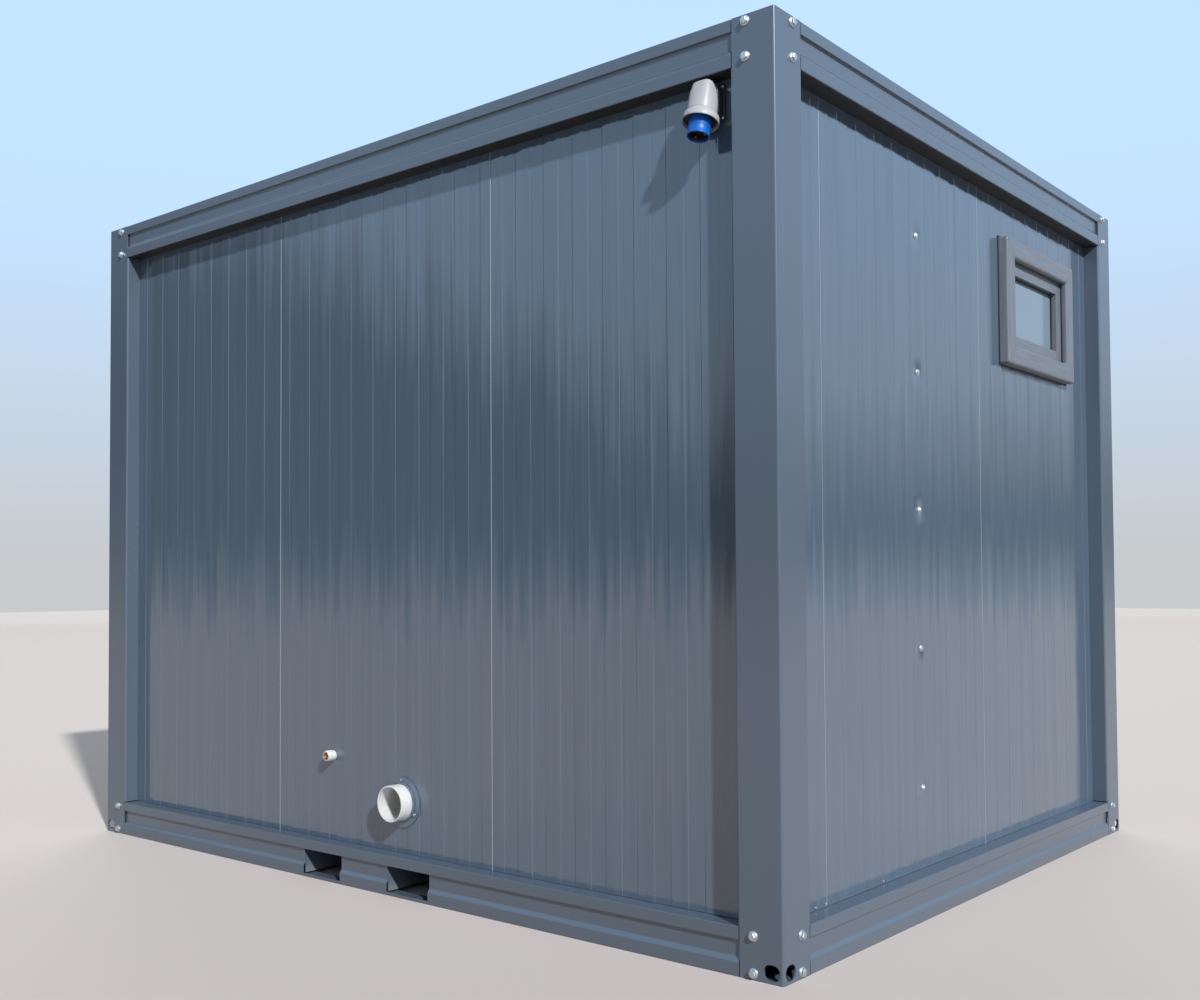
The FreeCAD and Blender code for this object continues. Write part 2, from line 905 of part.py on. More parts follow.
def panel_screws():
    """The column of screws that holds the partition to the side wall."""
    line = (partition_near + partition_far) / 2
    screws = []
    for index in range(PARTITION_SCREWS):
        height = S.screw_first_height + S.screw_pitch * index
        screws.append(on_side(panel_screw(f"panel_screw_{index}", line, height), "right"))
    return group("panel_screws", screws)


# Entrance door, drawn on the front wall as (along, inward, up)
door_leaf_bottom = panel_bottom + S.door_sill + S.door_gap
door_leaf_top = panel_top - S.door_head
door_face = S.panel_recess
door_back = door_face + S.door_thickness
door_frame_front = S.panel_recess - S.door_frame_proud


def door_frame():
    outer = box(
        "door_frame_block", (door_line - door_frame_half, door_frame_front, panel_bottom),
        (door_line + door_frame_half, panel_inner, panel_top),
    )
    wide = door_half + S.door_gap
    rebate = box(
        "door_frame_rebate", (door_line - wide, door_frame_front, panel_bottom + S.door_sill),
        (door_line + wide, door_back + S.fit_gap, door_leaf_top + S.door_gap),
    )
    narrow = door_half - S.door_stop
    way = box(
        "door_frame_way", (door_line - narrow, door_frame_front, panel_bottom + S.door_sill),
        (door_line + narrow, panel_inner, door_leaf_top - S.door_stop),
    )
    return on_side(cut("door_frame", outer, [rebate, way]), "front")


lever_spot = door_line - door_half + S.door_lever_inset


def door_leaf():
    slab = box(
        "door_leaf_slab", (door_line - door_half, door_face, door_leaf_bottom),
        (door_line + door_half, door_back, door_leaf_top),
    )
    bore = rod(
        "door_leaf_bore", S.spindle_radius + S.running_clearance, S.door_thickness,
        (lever_spot, door_face, S.door_lever_height), "y",
    )
    return on_side(cut("door_leaf", slab, [bore]), "front")


def door_lever():
    """Outer and inner lever on one square-ended spindle, drawn as one turning piece."""
    outer_end = door_face - S.lever_reach
    inner_start = door_back + S.face_clearance
    neck = S.lever_reach - S.face_clearance
    spindle = rod(
        "lever_spindle", S.spindle_radius, S.door_thickness + S.lever_reach * 2,
        (lever_spot, outer_end, S.door_lever_height), "y",
    )
    parts = [
        spindle,
        rod("lever_neck_out", S.lever_radius, neck, (lever_spot, outer_end, S.door_lever_height), "y"),
        rod("lever_neck_in", S.lever_radius, neck, (lever_spot, inner_start, S.door_lever_height), "y"),
    ]
    for name, depth in (("out", outer_end), ("in", door_back + S.lever_reach)):
        shift = S.lever_radius if name == "out" else -S.lever_radius
        start = (lever_spot - S.lever_radius, depth + shift, S.door_lever_height)
        parts.append(rod(f"lever_grip_{name}", S.lever_radius, S.lever_length, start, "x"))
    return on_side(joined("door_lever", parts), "front")


def lift_off_hinges(prefix, count, axis, hand, faces, bottom, top):
    """Lift-off hinges: halves with pins on the fixed side, halves with sleeves on the leaf.

    axis is (along, inward) of the pins, hand the side of the fixed plates,
    faces the inward depth of the fixed face and of the leaf's face.
    """
    fixed = []
    moving = []
    span = (top - bottom - S.hinge_end_inset * 2) / (count - 1)
    plate = S.hinge_plate_width
    for index in range(count):
        foot = bottom + S.hinge_end_inset + span * index
        shelf = foot + S.hinge_half + S.face_clearance
        head = shelf + S.hinge_half
        sides = {hand: (faces[0], foot, foot + S.hinge_half), -hand: (faces[1], shelf, head)}
        plates = {}
        for sign, (face, low, high) in sides.items():
            reach = (axis[0], axis[0] + plate) if sign > 0 else (axis[0] - plate, axis[0])
            plates[sign] = box(
                f"{prefix}_plate_{index}_{sign}", (reach[0], faces[0] - S.hinge_plate_thickness, low),
                (reach[1], face, high),
            )
        knuckle = rod(f"{prefix}_knuckle_{index}", S.hinge_radius, S.hinge_half, (*axis, foot))
        pin = rod(f"{prefix}_pin_{index}", S.hinge_pin_radius, S.hinge_half * 2, (*axis, foot))
        fixed.append(joined(f"{prefix}_pin_half_{index}", [plates[hand], knuckle, pin]))
        barrel = rod(f"{prefix}_barrel_{index}", S.hinge_radius, S.hinge_half, (*axis, shelf))
        bore = rod(
            f"{prefix}_bore_{index}", S.hinge_pin_radius + S.running_clearance, S.hinge_half,
            (*axis, shelf),
        )
        half = joined(f"{prefix}_sleeve_block_{index}", [plates[-hand], barrel])
        moving.append(cut(f"{prefix}_sleeve_half_{index}", half, [bore]))
    return group(f"{prefix}_hinge_pins", fixed), group(f"{prefix}_hinge_sleeves", moving)


def door_hinges():
    axis = (door_line + door_half + S.door_gap / 2, door_frame_front - S.hinge_radius - S.hinge_stand)
    faces = (door_frame_front, door_face)
    for item in lift_off_hinges("door", FRONT_HINGES, axis, 1, faces, door_leaf_bottom, door_leaf_top):
        on_side(item, "front")


# Window, drawn on the side wall as (along, inward, up) about its own middle
window_front = S.panel_recess - S.window_proud
window_back = window_front + S.window_depth
sash_front = window_front + S.window_reveal + S.sash_seal
sash_back = sash_front + S.sash_depth
sash_margin = S.window_face - S.sash_overlap + S.sash_gap
sash_half_width = window_half_width - sash_margin
sash_half_height = window_half_height - sash_margin


def window_block(label, half_wide, half_tall, front, back):
    return box(label, (-half_wide, front, -half_tall), (half_wide, back, half_tall))


def on_window(item):
    return on_side(item, "right", window_line, window_level)


pivot_depth = sash_back - S.window_pivot_inset
pivot_level = S.window_pivot_inset - sash_half_height


def window_frame():
    outer = window_block(
        "window_frame_block", window_half_width, window_half_height, window_front, window_back,
    )
    face = S.window_face
    sight = window_block(
        "window_frame_sight", window_half_width - face, window_half_height - face,
        window_front, window_back,
    )
    inner = face - S.sash_overlap
    seat = window_block(
        "window_frame_seat", window_half_width - inner, window_half_height - inner,
        window_front + S.window_reveal, window_back,
    )
    return on_window(cut("window_frame", outer, [sight, seat]))


def window_sash():
    """Bottom-hung sash with a pivot pin at each lower corner."""
    outer = window_block("window_sash_block", sash_half_width, sash_half_height, sash_front, sash_back)
    face = S.sash_face
    hole = window_block(
        "window_sash_sight", sash_half_width - face, sash_half_height - face, sash_front, sash_back,
    )
    pin_reach = sash_half_width + S.sash_gap - S.face_clearance
    pin = rod(
        "window_pivot_pin", S.window_pivot_radius, pin_reach * 2,
        (-pin_reach, pivot_depth, pivot_level), "x",
    )
    frame = joined("window_sash_frame", [outer, pin])
    spindle = rod(
        "window_handle_hole", S.spindle_radius + S.running_clearance, S.sash_depth / 2,
        (0, sash_back - S.sash_depth / 2, sash_half_height - S.sash_face / 2), "y",
    )
    return on_window(cut("window_sash", frame, [hole, spindle]))


def window_pane():
    face = S.sash_face
    front = sash_front + S.pane_setback
    pane = window_block(
        "window_pane_block", sash_half_width - face, sash_half_height - face, front, front + S.pane_thickness,
    )
    return on_window(group("window_pane", [pane]))


def window_handle():
    level = sash_half_height - S.sash_face / 2
    base = sash_back + S.face_clearance
    boss_end = base + S.window_handle_stand * 2
    boss = rod("window_handle_boss", S.window_handle_radius, boss_end - base, (0, base, level), "y")
    spindle = rod(
        "window_handle_spindle", S.spindle_radius, S.window_spindle_length,
        (0, base - S.window_spindle_length, level), "y",
    )
    grip = box(
        "window_handle_grip", (0, base + S.window_handle_stand, level - S.window_handle_radius),
        (S.window_handle_length, boss_end, level + S.window_handle_radius),
    )
    return on_window(joined("window_handle", [boss, spindle, grip]))


# Cubicle, in the container's own frame
cubicle_inner = S.cubicle_front_line
cubicle_outer = cubicle_inner - S.partition_thickness
cubicle_way_near = rear_face + S.pilaster_rear
cubicle_way_far = partition_far - S.pilaster_front
cubicle_door_bottom = floor_top + S.cubicle_door_rise
cubicle_door_top = ceiling - S.cubicle_door_head
water_line = rear_face + S.water_pipe_distance
trap_line = rear_face + S.trap_wall_distance


def cubicle_walls():
    """Partition, two pilasters and a panel over the door; pipes pass through the rear pilaster."""
    low = (cubicle_inner, partition_near, floor_top)
    partition = box("partition", low, (right_face, partition_far, ceiling))
    post = box(
        "pilaster_block", (cubicle_outer, rear_face, floor_top),
        (cubicle_inner, cubicle_way_near, ceiling),
    )
    bores = [
        rod(
            "pilaster_water_bore", S.water_pipe_radius + S.fit_gap, S.partition_thickness,
            (cubicle_outer, water_line, S.water_height), "x",
        ),
        rod(
            "pilaster_waste_bore", S.trap_pipe_radius + S.fit_gap, S.partition_thickness,
            (cubicle_outer, trap_line, S.waste_height), "x",
        ),
    ]
    far = box(
        "pilaster_far", (cubicle_outer, cubicle_way_far, floor_top),
        (cubicle_inner, partition_far, ceiling),
    )
    over = box(
        "over_door", (cubicle_outer, cubicle_way_near, cubicle_door_top + S.door_gap),
        (cubicle_inner, cubicle_way_far, ceiling),
    )
    return group("cubicle_walls", [partition, cut("pilaster_near", post, bores), far, over])


knob_line = cubicle_way_near + S.door_gap + S.knob_inset


def cubicle_door():
    gap = S.door_gap
    slab = box(
        "cubicle_door_slab", (cubicle_outer, cubicle_way_near + gap, cubicle_door_bottom),
        (cubicle_outer + S.cubicle_door_thickness, cubicle_way_far - gap, cubicle_door_top),
    )
    bore = rod(
        "cubicle_door_bore", S.spindle_radius + S.running_clearance, S.cubicle_door_thickness,
        (cubicle_outer, knob_line, S.knob_height), "x",
    )
    return cut("cubicle_door", slab, [bore])


def cubicle_knob():
    """Turn knob outside, locking bar inside, on one spindle; the bar stands upright when free."""
    outer = cubicle_outer - S.face_clearance
    bar_start = cubicle_inner + S.knob_bar_gap
    bar_end = bar_start + S.knob_bar_thickness
    tip = cubicle_outer - S.knob_stand
    knob = rod("knob_grip", S.knob_radius, outer - tip, (tip, knob_line, S.knob_height), "x")
    spindle = rod("knob_spindle", S.spindle_radius, bar_end - tip, (tip, knob_line, S.knob_height), "x")
    half = S.knob_bar_width / 2
    bar = box(
        "knob_bar", (bar_start, knob_line - half, S.knob_height - half),
        (bar_end, knob_line + half, S.knob_height + S.knob_bar_length),
    )
    return joined("cubicle_knob", [knob, spindle, bar])


def cubicle_hinges():
    """Same lift-off hinges, drawn as on a wall that faces -X and then moved to the cubicle."""
    along = S.door_gap / 2 - cubicle_way_far
    inward = -S.hinge_radius - S.hinge_stand
    pair = lift_off_hinges(
        "cubicle", CUBICLE_HINGES, (along, inward), -1, (as_size(0), as_size(0)),
        cubicle_door_bottom, cubicle_door_top,
    )
    for item in pair:
        place(item, (cubicle_outer, 0, 0), Rotation(Vector(0, 0, 1), -QUARTER_TURN))


# Toilet, drawn as (out from the side wall, across, up from the floor)
toilet_line = rear_face + S.cubicle_width / 2


def on_toilet(item):
    return place(item, (right_face, toilet_line, floor_top), Rotation(Vector(0, 0, 1), HALF_TURN))


def oval(centre, length, width, height):
    """A closed ellipse in a level plane."""
    middle = Vector(centre, 0, height)
    tips = (Vector(length / 2, 0, 0), Vector(0, width / 2, 0))
    if length < width:
        tips = (tips[1], tips[0])
    curve = Part.Ellipse(middle + tips[0], middle + tips[1], middle)
    return Part.Wire(curve.toShape())


def solid_feature(label, shape):
    item = doc.addObject("Part::Feature", label)
    item.Label = label
    item.Shape = shape
    return item


def bowl_body():
    """The pan's outside, drawn in from the rim to the foot, and its hollow."""
    rim = S.rim_height.value
    middle = S.bowl_centre.value
    foot = (S.bowl_foot_length.value, S.bowl_foot_width.value)
    brim = (S.bowl_length.value, S.bowl_width.value)
    ribs = [
        oval((S.bowl_centre - S.bowl_foot_shift).value, *foot, 0),
        oval((S.bowl_centre - S.bowl_foot_shift).value, *foot, S.bowl_waist_height.value),
        oval(middle, S.bowl_shoulder_length.value, S.bowl_shoulder_width.value, S.bowl_shoulder_height.value),
        oval(middle, *brim, rim - S.bowl_brim.value),
        oval(middle, *brim, rim),
    ]
    outside = Part.makeLoft(ribs, True)
    opening = [edge - (S.bowl_wall * 2).value for edge in brim]
    slope = [edge - (S.bowl_slope_inset * 2).value for edge in opening]
    neck = (S.bowl_neck_length.value, S.bowl_neck_width.value)
    hollow = Part.makeLoft([
        oval(middle, *opening, rim),
        oval(middle, *slope, rim - S.bowl_slope_height.value),
        oval((S.bowl_centre - S.bowl_neck_shift).value, *neck, rim - S.bowl_depth.value),
    ], True)
    return outside, hollow


def toilet_bowl():
    outside, hollow = bowl_body()
    pan = solid_feature("pan_outside", outside)
    half = S.pedestal_width / 2
    block = box("pan_pedestal", (0, -half, 0), (S.pedestal_depth, half, S.rim_height))
    boss = rod(
        "pan_outlet", S.waste_radius + S.waste_wall, half + S.outlet_boss,
        (S.outlet_inset, 0, S.waste_height - floor_top), "y",
    )
    whole = joined("pan_whole", [pan, block, boss])
    return on_toilet(cut("toilet_bowl", whole, [solid_feature("pan_hollow", hollow)]))


seat_level = S.rim_height + S.seat_hinge_height


def toilet_seat():
    """An oval ring with a hinge barrel behind it."""
    rear = S.seat_hinge_inset + S.hinge_radius
    length = S.bowl_centre + S.bowl_length / 2 - rear
    middle = (rear + length / 2).value
    base = (S.rim_height + S.face_clearance).value
    outer = Part.Face(oval(middle, length.value, S.bowl_width.value, base))
    hole = Part.Face(oval(middle, S.seat_opening_length.value, S.seat_opening_width.value, base))
    ring = solid_feature("seat_ring", outer.cut(hole).extrude(Vector(0, 0, S.seat_thickness.value)))
    half = S.seat_barrel_length / 2
    axis_end = (S.seat_hinge_inset, -half, seat_level)
    barrel = rod("seat_barrel", S.hinge_radius, S.seat_barrel_length, axis_end, "y")
    web = box(
        "seat_web", (S.seat_hinge_inset, -half, seat_level - S.hinge_radius / 2),
        (rear + S.seat_post_length, half, S.rim_height + S.seat_thickness),
    )
    bore_radius = S.hinge_pin_radius + S.running_clearance
    bore = rod("seat_bore", bore_radius, S.seat_barrel_length, axis_end, "y")
    return on_toilet(cut("toilet_seat", joined("seat_block", [ring, barrel, web]), [bore]))


def seat_hinge():
    """Two posts on the rim with the pin between them."""
    inner = S.seat_barrel_length / 2 + S.face_clearance
    outer = inner + S.seat_post_width
    half = S.seat_post_length / 2
    top = seat_level + S.hinge_radius
    posts = []
    for index, sign in enumerate((1, -1)):
        edges = (inner, outer) if sign > 0 else (-outer, -inner)
        posts.append(box(
            f"seat_post_{index}", (S.seat_hinge_inset - half, edges[0], S.rim_height),
            (S.seat_hinge_inset + half, edges[1], top),
        ))
    pin = rod("seat_pin", S.hinge_pin_radius, outer * 2, (S.seat_hinge_inset, -outer, seat_level), "y")
    return on_toilet(joined("seat_hinge", [*posts, pin]))


cistern_top = S.rim_height + S.cistern_height
button_spot = S.cistern_depth / 2


def cistern():
    half = S.cistern_width / 2
    tank = box("cistern_tank", (0, -half, S.rim_height), (S.cistern_depth, half, cistern_top))
    well = rod(
        "button_well", S.button_radius + S.running_clearance, S.button_seat,
        (button_spot, 0, cistern_top - S.button_seat),
    )
    return on_toilet(cut("cistern", tank, [well]))


def flush_button():
    depth = S.button_seat / 2
    start = (button_spot, 0, cistern_top - depth)
    disc = rod("button_disc", S.button_radius, depth + S.button_proud, start)
    return on_toilet(group("flush_button", [disc]))


# Washbasin, clear of the cubicle door, drawn as (along the rear wall, out from it, up from the floor)
basin_line = cubicle_outer - S.basin_door_clearance - S.basin_width / 2


def on_basin(item):
    return place(item, (basin_line, rear_face, floor_top))


basin_under = S.basin_rim - S.basin_height


def washbasin():
    half = S.basin_width / 2
    block = box("basin_block", (-half, 0, basin_under), (half, S.basin_depth, S.basin_rim))
    rim = S.basin_rim.value
    opening = (S.basin_bowl_length.value, S.basin_bowl_width.value)
    slope = [edge - (S.basin_slope_inset * 2).value for edge in opening]
    hollow = Part.makeLoft([
        oval(0, *opening, rim),
        oval(0, *slope, rim - S.basin_slope_depth.value),
        oval(0, S.basin_floor_length.value, S.basin_floor_width.value, rim - S.basin_bowl_depth.value),
    ], True)
    hollow.translate(Vector(0, S.basin_bowl_centre.value, 0))
    return on_basin(cut("washbasin", block, [solid_feature("basin_hollow", hollow)]))


tap_top = S.basin_rim + S.tap_height


def tap_body():
    spout_level = S.basin_rim + S.tap_spout_rise
    return on_basin(joined("tap_body", [
        rod("tap_column", S.tap_radius, S.tap_height, (0, S.tap_inset, S.basin_rim)),
        rod("tap_spout", S.tap_spout_radius, S.tap_spout_length, (0, S.tap_inset, spout_level), "y"),
        rod("tap_boss", S.tap_boss_radius, S.tap_boss_height, (0, S.tap_inset, tap_top)),
    ]))


def tap_lever():
    base = tap_top + S.face_clearance
    cap = rod("tap_cap", S.tap_radius, S.tap_cap_height, (0, S.tap_inset, base))
    half = S.tap_boss_radius / 2
    arm = box(
        "tap_arm", (-half, S.tap_inset, base + S.tap_cap_height - half),
        (half, S.tap_inset + S.tap_lever_length, base + S.tap_cap_height),
    )
    bore = rod(
        "tap_bore", S.tap_boss_radius + S.running_clearance, S.tap_boss_height,
        (0, S.tap_inset, base),
    )
    return on_basin(cut("tap_lever", joined("tap_lever_block", [cap, arm]), [bore]))


def basin_trap():
    """Drain, bottle and the pipe along the wall to the waste outlet."""
    level = floor_top + basin_under - S.trap_drop
    bottle_foot = level - S.trap_bottle_height / 2
    drain = rear_face + S.basin_bowl_centre
    spot = basin_line
    radius = S.trap_pipe_radius
    end = S.waste_position - S.waste_radius - S.face_clearance
    return joined("basin_trap", [
        rod("trap_drain", radius, S.trap_drop, (spot, drain, level)),
        rod("trap_bottle", S.trap_bottle_radius, S.trap_bottle_height, (spot, drain, bottle_foot)),
        rod("trap_tail", radius, S.basin_bowl_centre - S.trap_wall_distance, (spot, trap_line, level), "y"),
        ball("trap_upper_elbow", S.trap_elbow_radius, (spot, trap_line, level)),
        rod("trap_fall", radius, level - S.waste_height, (spot, trap_line, S.waste_height)),
        ball("trap_lower_elbow", S.trap_elbow_radius, (spot, trap_line, S.waste_height)),
        rod("trap_run", radius, end - spot, (spot, trap_line, S.waste_height), "x"),
    ])


waste_seal_place = S.panel_recess - S.waste_flange_thickness - S.waste_seal_width


def waste_pipe():
    """The outlet pipe: from the frame's face through the wall, along it and to the pan.

    A lip seal round it lies against the rosette.
    """
    run = rear_face + S.waste_run
    turn_place = right_face - S.outlet_inset
    pan_side = toilet_line - S.pedestal_width / 2 - S.outlet_boss
    route = [
        Vector(S.waste_position.value, -half_width.value, S.waste_height.value),
        Vector(S.waste_position.value, run.value, S.waste_height.value),
        Vector(turn_place.value, run.value, S.waste_height.value),
        Vector(turn_place.value, pan_side.value, S.waste_height.value),
    ]
    path = bent_path(route, S.waste_bend.value)
    tubes = []
    for radius in (S.waste_radius.value, (S.waste_radius - S.waste_wall).value):
        ring = Part.Wire(Part.makeCircle(radius, route[0], Vector(0, 1, 0)))
        tubes.append(path.makePipeShell([ring], True, False))
    seal_front = route[0] + Vector(0, waste_seal_place.value, 0)
    seal = Part.makeCylinder(S.waste_seal_radius.value, S.waste_seal_width.value, seal_front, Vector(0, 1, 0))
    return solid_feature("waste_pipe", tubes[0].fuse(seal).cut(tubes[1]).removeSplitter())


def bent_path(route, bend):
    """Straight runs joined by quarter bends of one radius."""
    edges = []
    start = route[0]
    for before, corner, after in zip(route, route[1:], route[2:]):
        arriving = (corner - before).normalize()
        leaving = (after - corner).normalize()
        first = corner - arriving * bend
        last = corner + leaving * bend
        centre = first + leaving * bend
        middle = centre + (corner - centre).normalize() * bend
        edges.append(Part.makeLine(start, first))
        edges.append(Part.Arc(first, middle, last).toShape())
        start = last
    edges.append(Part.makeLine(start, route[-1]))
    return Part.Wire(edges)


def waste_flange():
    """A rosette on the outer skin, with three screws."""
    spot = (S.waste_position, S.panel_recess - S.waste_flange_thickness, S.waste_height)
    plate = rod("flange_plate", S.waste_flange_radius, S.waste_flange_thickness, spot, "y")
    bore = rod("flange_bore", waste_bore, S.waste_flange_thickness, spot, "y")
    disc = cut("flange_disc", plate, [bore])
    heads = []
    for index in range(FLANGE_SCREWS):
        angle = math.radians(QUARTER_TURN + FULL_TURN / FLANGE_SCREWS * index)
        centre = (
            S.waste_position + S.waste_screw_circle * math.cos(angle),
            S.panel_recess - S.waste_flange_thickness - S.screw_head_height / 2,
            S.waste_height + S.waste_screw_circle * math.sin(angle),
        )
        name = f"flange_screw_{index}"
        heads.append(rod(name, S.screw_dome_radius, S.screw_head_height / 2, centre, "y"))
    return on_side(joined("waste_flange", [disc, *heads]), "rear")


def water_inlet():
    """A threaded wall adapter: white collar outside, tail through the wall."""
    face = S.panel_recess - S.water_collar_length
    spot = (S.water_position, face, S.water_height)
    collar = hexagon("water_collar", S.water_collar_radius, S.water_collar_length, spot, "y")
    tail_length = S.panel_thickness + S.water_pipe_distance - S.water_pipe_radius
    tail = rod(
        "water_tail", water_tail_radius, tail_length,
        (S.water_position, S.panel_recess, S.water_height), "y",
    )
    seat = rod("water_seat", S.water_insert_radius, S.water_insert_depth, spot, "y")
    return on_side(cut("water_inlet", joined("water_block", [collar, tail]), [seat]), "rear")


def water_thread():
    """The brass insert that takes the supply hose's thread."""
    spot = (S.water_position, S.panel_recess - S.water_collar_length, S.water_height)
    ring = rod("thread_ring", S.water_insert_radius, S.water_insert_depth, spot, "y")
    bore = rod("thread_bore", S.water_thread_radius, S.water_insert_depth, spot, "y")
    return on_side(cut("water_thread", ring, [bore]), "rear")


def water_pipes():
    """Supply along the rear wall, up to the basin and across to the cistern."""
    radius = S.water_pipe_radius
    basin_end = basin_line - S.water_riser_offset
    cistern_end = right_face - S.cistern_riser
    climb = floor_top + basin_under - S.water_height
    feed = floor_top + S.rim_height + S.cistern_feed
    side = toilet_line - S.cistern_width / 2
    corners = {
        "basin": (basin_end, water_line, S.water_height),
        "riser": (cistern_end, water_line, S.water_height),
        "cistern": (cistern_end, water_line, feed),
    }
    elbows = [ball(f"{name}_elbow", S.water_elbow_radius, spot) for name, spot in corners.items()]
    return joined("water_pipes", [
        *elbows,
        rod("supply_main", radius, cistern_end - basin_end, (basin_end, water_line, S.water_height), "x"),
        rod("basin_riser", radius, climb, (basin_end, water_line, S.water_height)),
        rod("cistern_riser", radius, feed - S.water_height, (cistern_end, water_line, S.water_height)),
        rod("cistern_feed", radius, side - water_line, (cistern_end, water_line, feed), "y"),
    ])


# Power inlet, drawn about its own axis with +Z out of its mouth
def on_inlet(item):
    spot = (inlet_line, -half_width - S.inlet_outreach, inlet_level)
    return place(item, spot, Rotation(Vector(1, 0, 0), HALF_TURN - INLET_TILT))


def inlet_housing():
    """Tapered grey housing with its collar, on a box that stands on the wall."""
    body = cone(
        "inlet_taper", S.inlet_top_radius, S.inlet_body_radius, S.inlet_body_length,
        (0, 0, -S.inlet_body_length),
    )
    mouth = S.inlet_collar_height / 2
    collar = rod("inlet_collar", S.inlet_collar_radius, S.inlet_collar_height, (0, 0, -mouth))
    recess = rod(
        "inlet_recess", S.inlet_recess_radius, S.inlet_recess_depth, (0, 0, mouth - S.inlet_recess_depth),
    )
    head = on_inlet(cut("inlet_head", joined("inlet_head_block", [body, collar]), [recess]))
    half = S.inlet_box_width / 2
    low = inlet_level + S.inlet_box_rise
    back = S.panel_recess - half_width
    wall_box = box(
        "inlet_box", (inlet_line - half, back - S.inlet_box_depth, low),
        (inlet_line + half, back, low + S.inlet_box_height),
    )
    return joined("inlet_housing", [head, wall_box])


inlet_floor = S.inlet_collar_height / 2 - S.inlet_recess_depth


def inlet_shroud():
    """Blue shroud on its disc, seated in the collar, with its three pins."""
    disc = rod("shroud_disc", S.inlet_recess_radius, S.inlet_disc_thickness, (0, 0, inlet_floor))
    tube = rod("shroud_tube", S.inlet_shroud_radius, S.inlet_shroud_length, (0, 0, inlet_floor))
    bore = rod(
        "shroud_bore", S.inlet_shroud_radius - S.inlet_shroud_wall, S.inlet_shroud_length,
        (0, 0, inlet_floor + S.inlet_disc_thickness),
    )
    pieces = [cut("shroud_sleeve", joined("shroud_block", [disc, tube]), [bore])]
    for index in range(INLET_PINS):
        angle = math.radians(FULL_TURN / INLET_PINS * index - QUARTER_TURN)
        spot = (
            S.inlet_pin_circle * math.cos(angle), S.inlet_pin_circle * math.sin(angle),
            inlet_floor + S.inlet_disc_thickness,
        )
        pieces.append(rod(f"inlet_pin_{index}", S.inlet_pin_radius, S.inlet_pin_length, spot))
    return on_inlet(group("inlet_shroud", pieces))


def distribution_board():
    side = right_face - S.board_corner_gap
    top = ceiling - S.board_ceiling_gap
    low = (side - S.board_width, rear_face, top - S.board_tall)
    high = (side, rear_face + S.board_depth, top)
    return box("distribution_board", low, high)


def ceiling_light():
    half = S.light_width / 2
    start = (cubicle_outer - right_face - S.light_length) / 2
    low = (start, -half, ceiling - S.light_depth)
    return box("ceiling_light", low, (start + S.light_length, half, ceiling))


for wall in SIDES:
    ends = {"rear": "rear_right", "right": "front_right", "front": "front_left", "left": "rear_left"}
    corner_post(f"corner_post_{ends[wall]}", wall)
    rail("bottom", wall)
    rail("roof", wall)
rail_tongues()
frame_bolts()
fork_tunnels()
floor_joists()
floor_deck()
ceiling_panels()
roof_sheet()
rear_panels()
side_panels()
left_panels()
front_panels()
panel_screws()
door_frame()
door_leaf()
door_lever()
door_hinges()
window_frame()
window_sash()
window_pane()
window_handle()
cubicle_walls()
cubicle_door()
cubicle_knob()
cubicle_hinges()
toilet_bowl()
toilet_seat()
seat_hinge()
cistern()
flush_button()
washbasin()
tap_body()
tap_lever()
basin_trap()
waste_pipe()
waste_flange()
water_inlet()
water_thread()
water_pipes()
inlet_housing()
inlet_shroud()
distribution_board()
ceiling_light()
doc.recompute()

SUB_PARTS = [
    "corner_post_rear_right", "corner_post_front_right", "corner_post_front_left", "corner_post_rear_left",
    "bottom_rail_rear", "bottom_rail_right", "bottom_rail_front", "bottom_rail_left",
    "roof_rail_rear", "roof_rail_right", "roof_rail_front", "roof_rail_left",
    "rail_tongues", "frame_bolts", "fork_tunnels", "floor_joists", "floor_deck",
    "ceiling_panels", "roof_sheet",
    "rear_panel_left", "rear_panel_middle", "rear_panel_right",
    "side_panel_corner", "side_panel_middle", "side_panel_window", "left_panels", "front_panels",
    "panel_screws", "door_frame", "door_leaf", "door_lever", "door_hinge_pins", "door_hinge_sleeves",
    "window_frame", "window_sash", "window_pane", "window_handle",
    "cubicle_walls", "cubicle_door", "cubicle_knob",
    "cubicle_hinge_pins", "cubicle_hinge_sleeves",
    "toilet_bowl", "toilet_seat", "seat_hinge", "cistern", "flush_button",
    "washbasin", "tap_body", "tap_lever", "basin_trap",
    "waste_pipe", "waste_flange", "water_inlet", "water_thread", "water_pipes",
    "inlet_housing", "inlet_shroud", "distribution_board", "ceiling_light",
]

for item in doc.Objects:
    if "Invalid" in item.State or "Error" in item.State:
        raise ValueError(f"{item.Label} failed: {item.State}")
finished = []
for label in SUB_PARTS:
    item = doc.getObjectsByLabel(label)[0]
    if item.Shape.isNull() or not item.Shape.isValid() or not item.Shape.Solids:
        raise ValueError(f"{label} has no valid solid")
    finished.append(item)
os.makedirs("parts", exist_ok=True)
for item in finished:
    item.Shape.exportStep(f"parts/{item.Label}.step")
    print(item.Label, len(item.Shape.Solids), round(item.Shape.Volume))
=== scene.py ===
# %% [markdown]
# # A bolted toilet container
# The real object is a steel frame of folded posts and rails, filled with
# sandwich panels, with a few service connections on the outside and a small
# washroom inside. The solids come from a finished CAD frame. Here they get
# their edges, fixings, seals and finishes.

# %% Load the frame
import json
import math

import bmesh
import bpy
from mathutils import Matrix, Vector


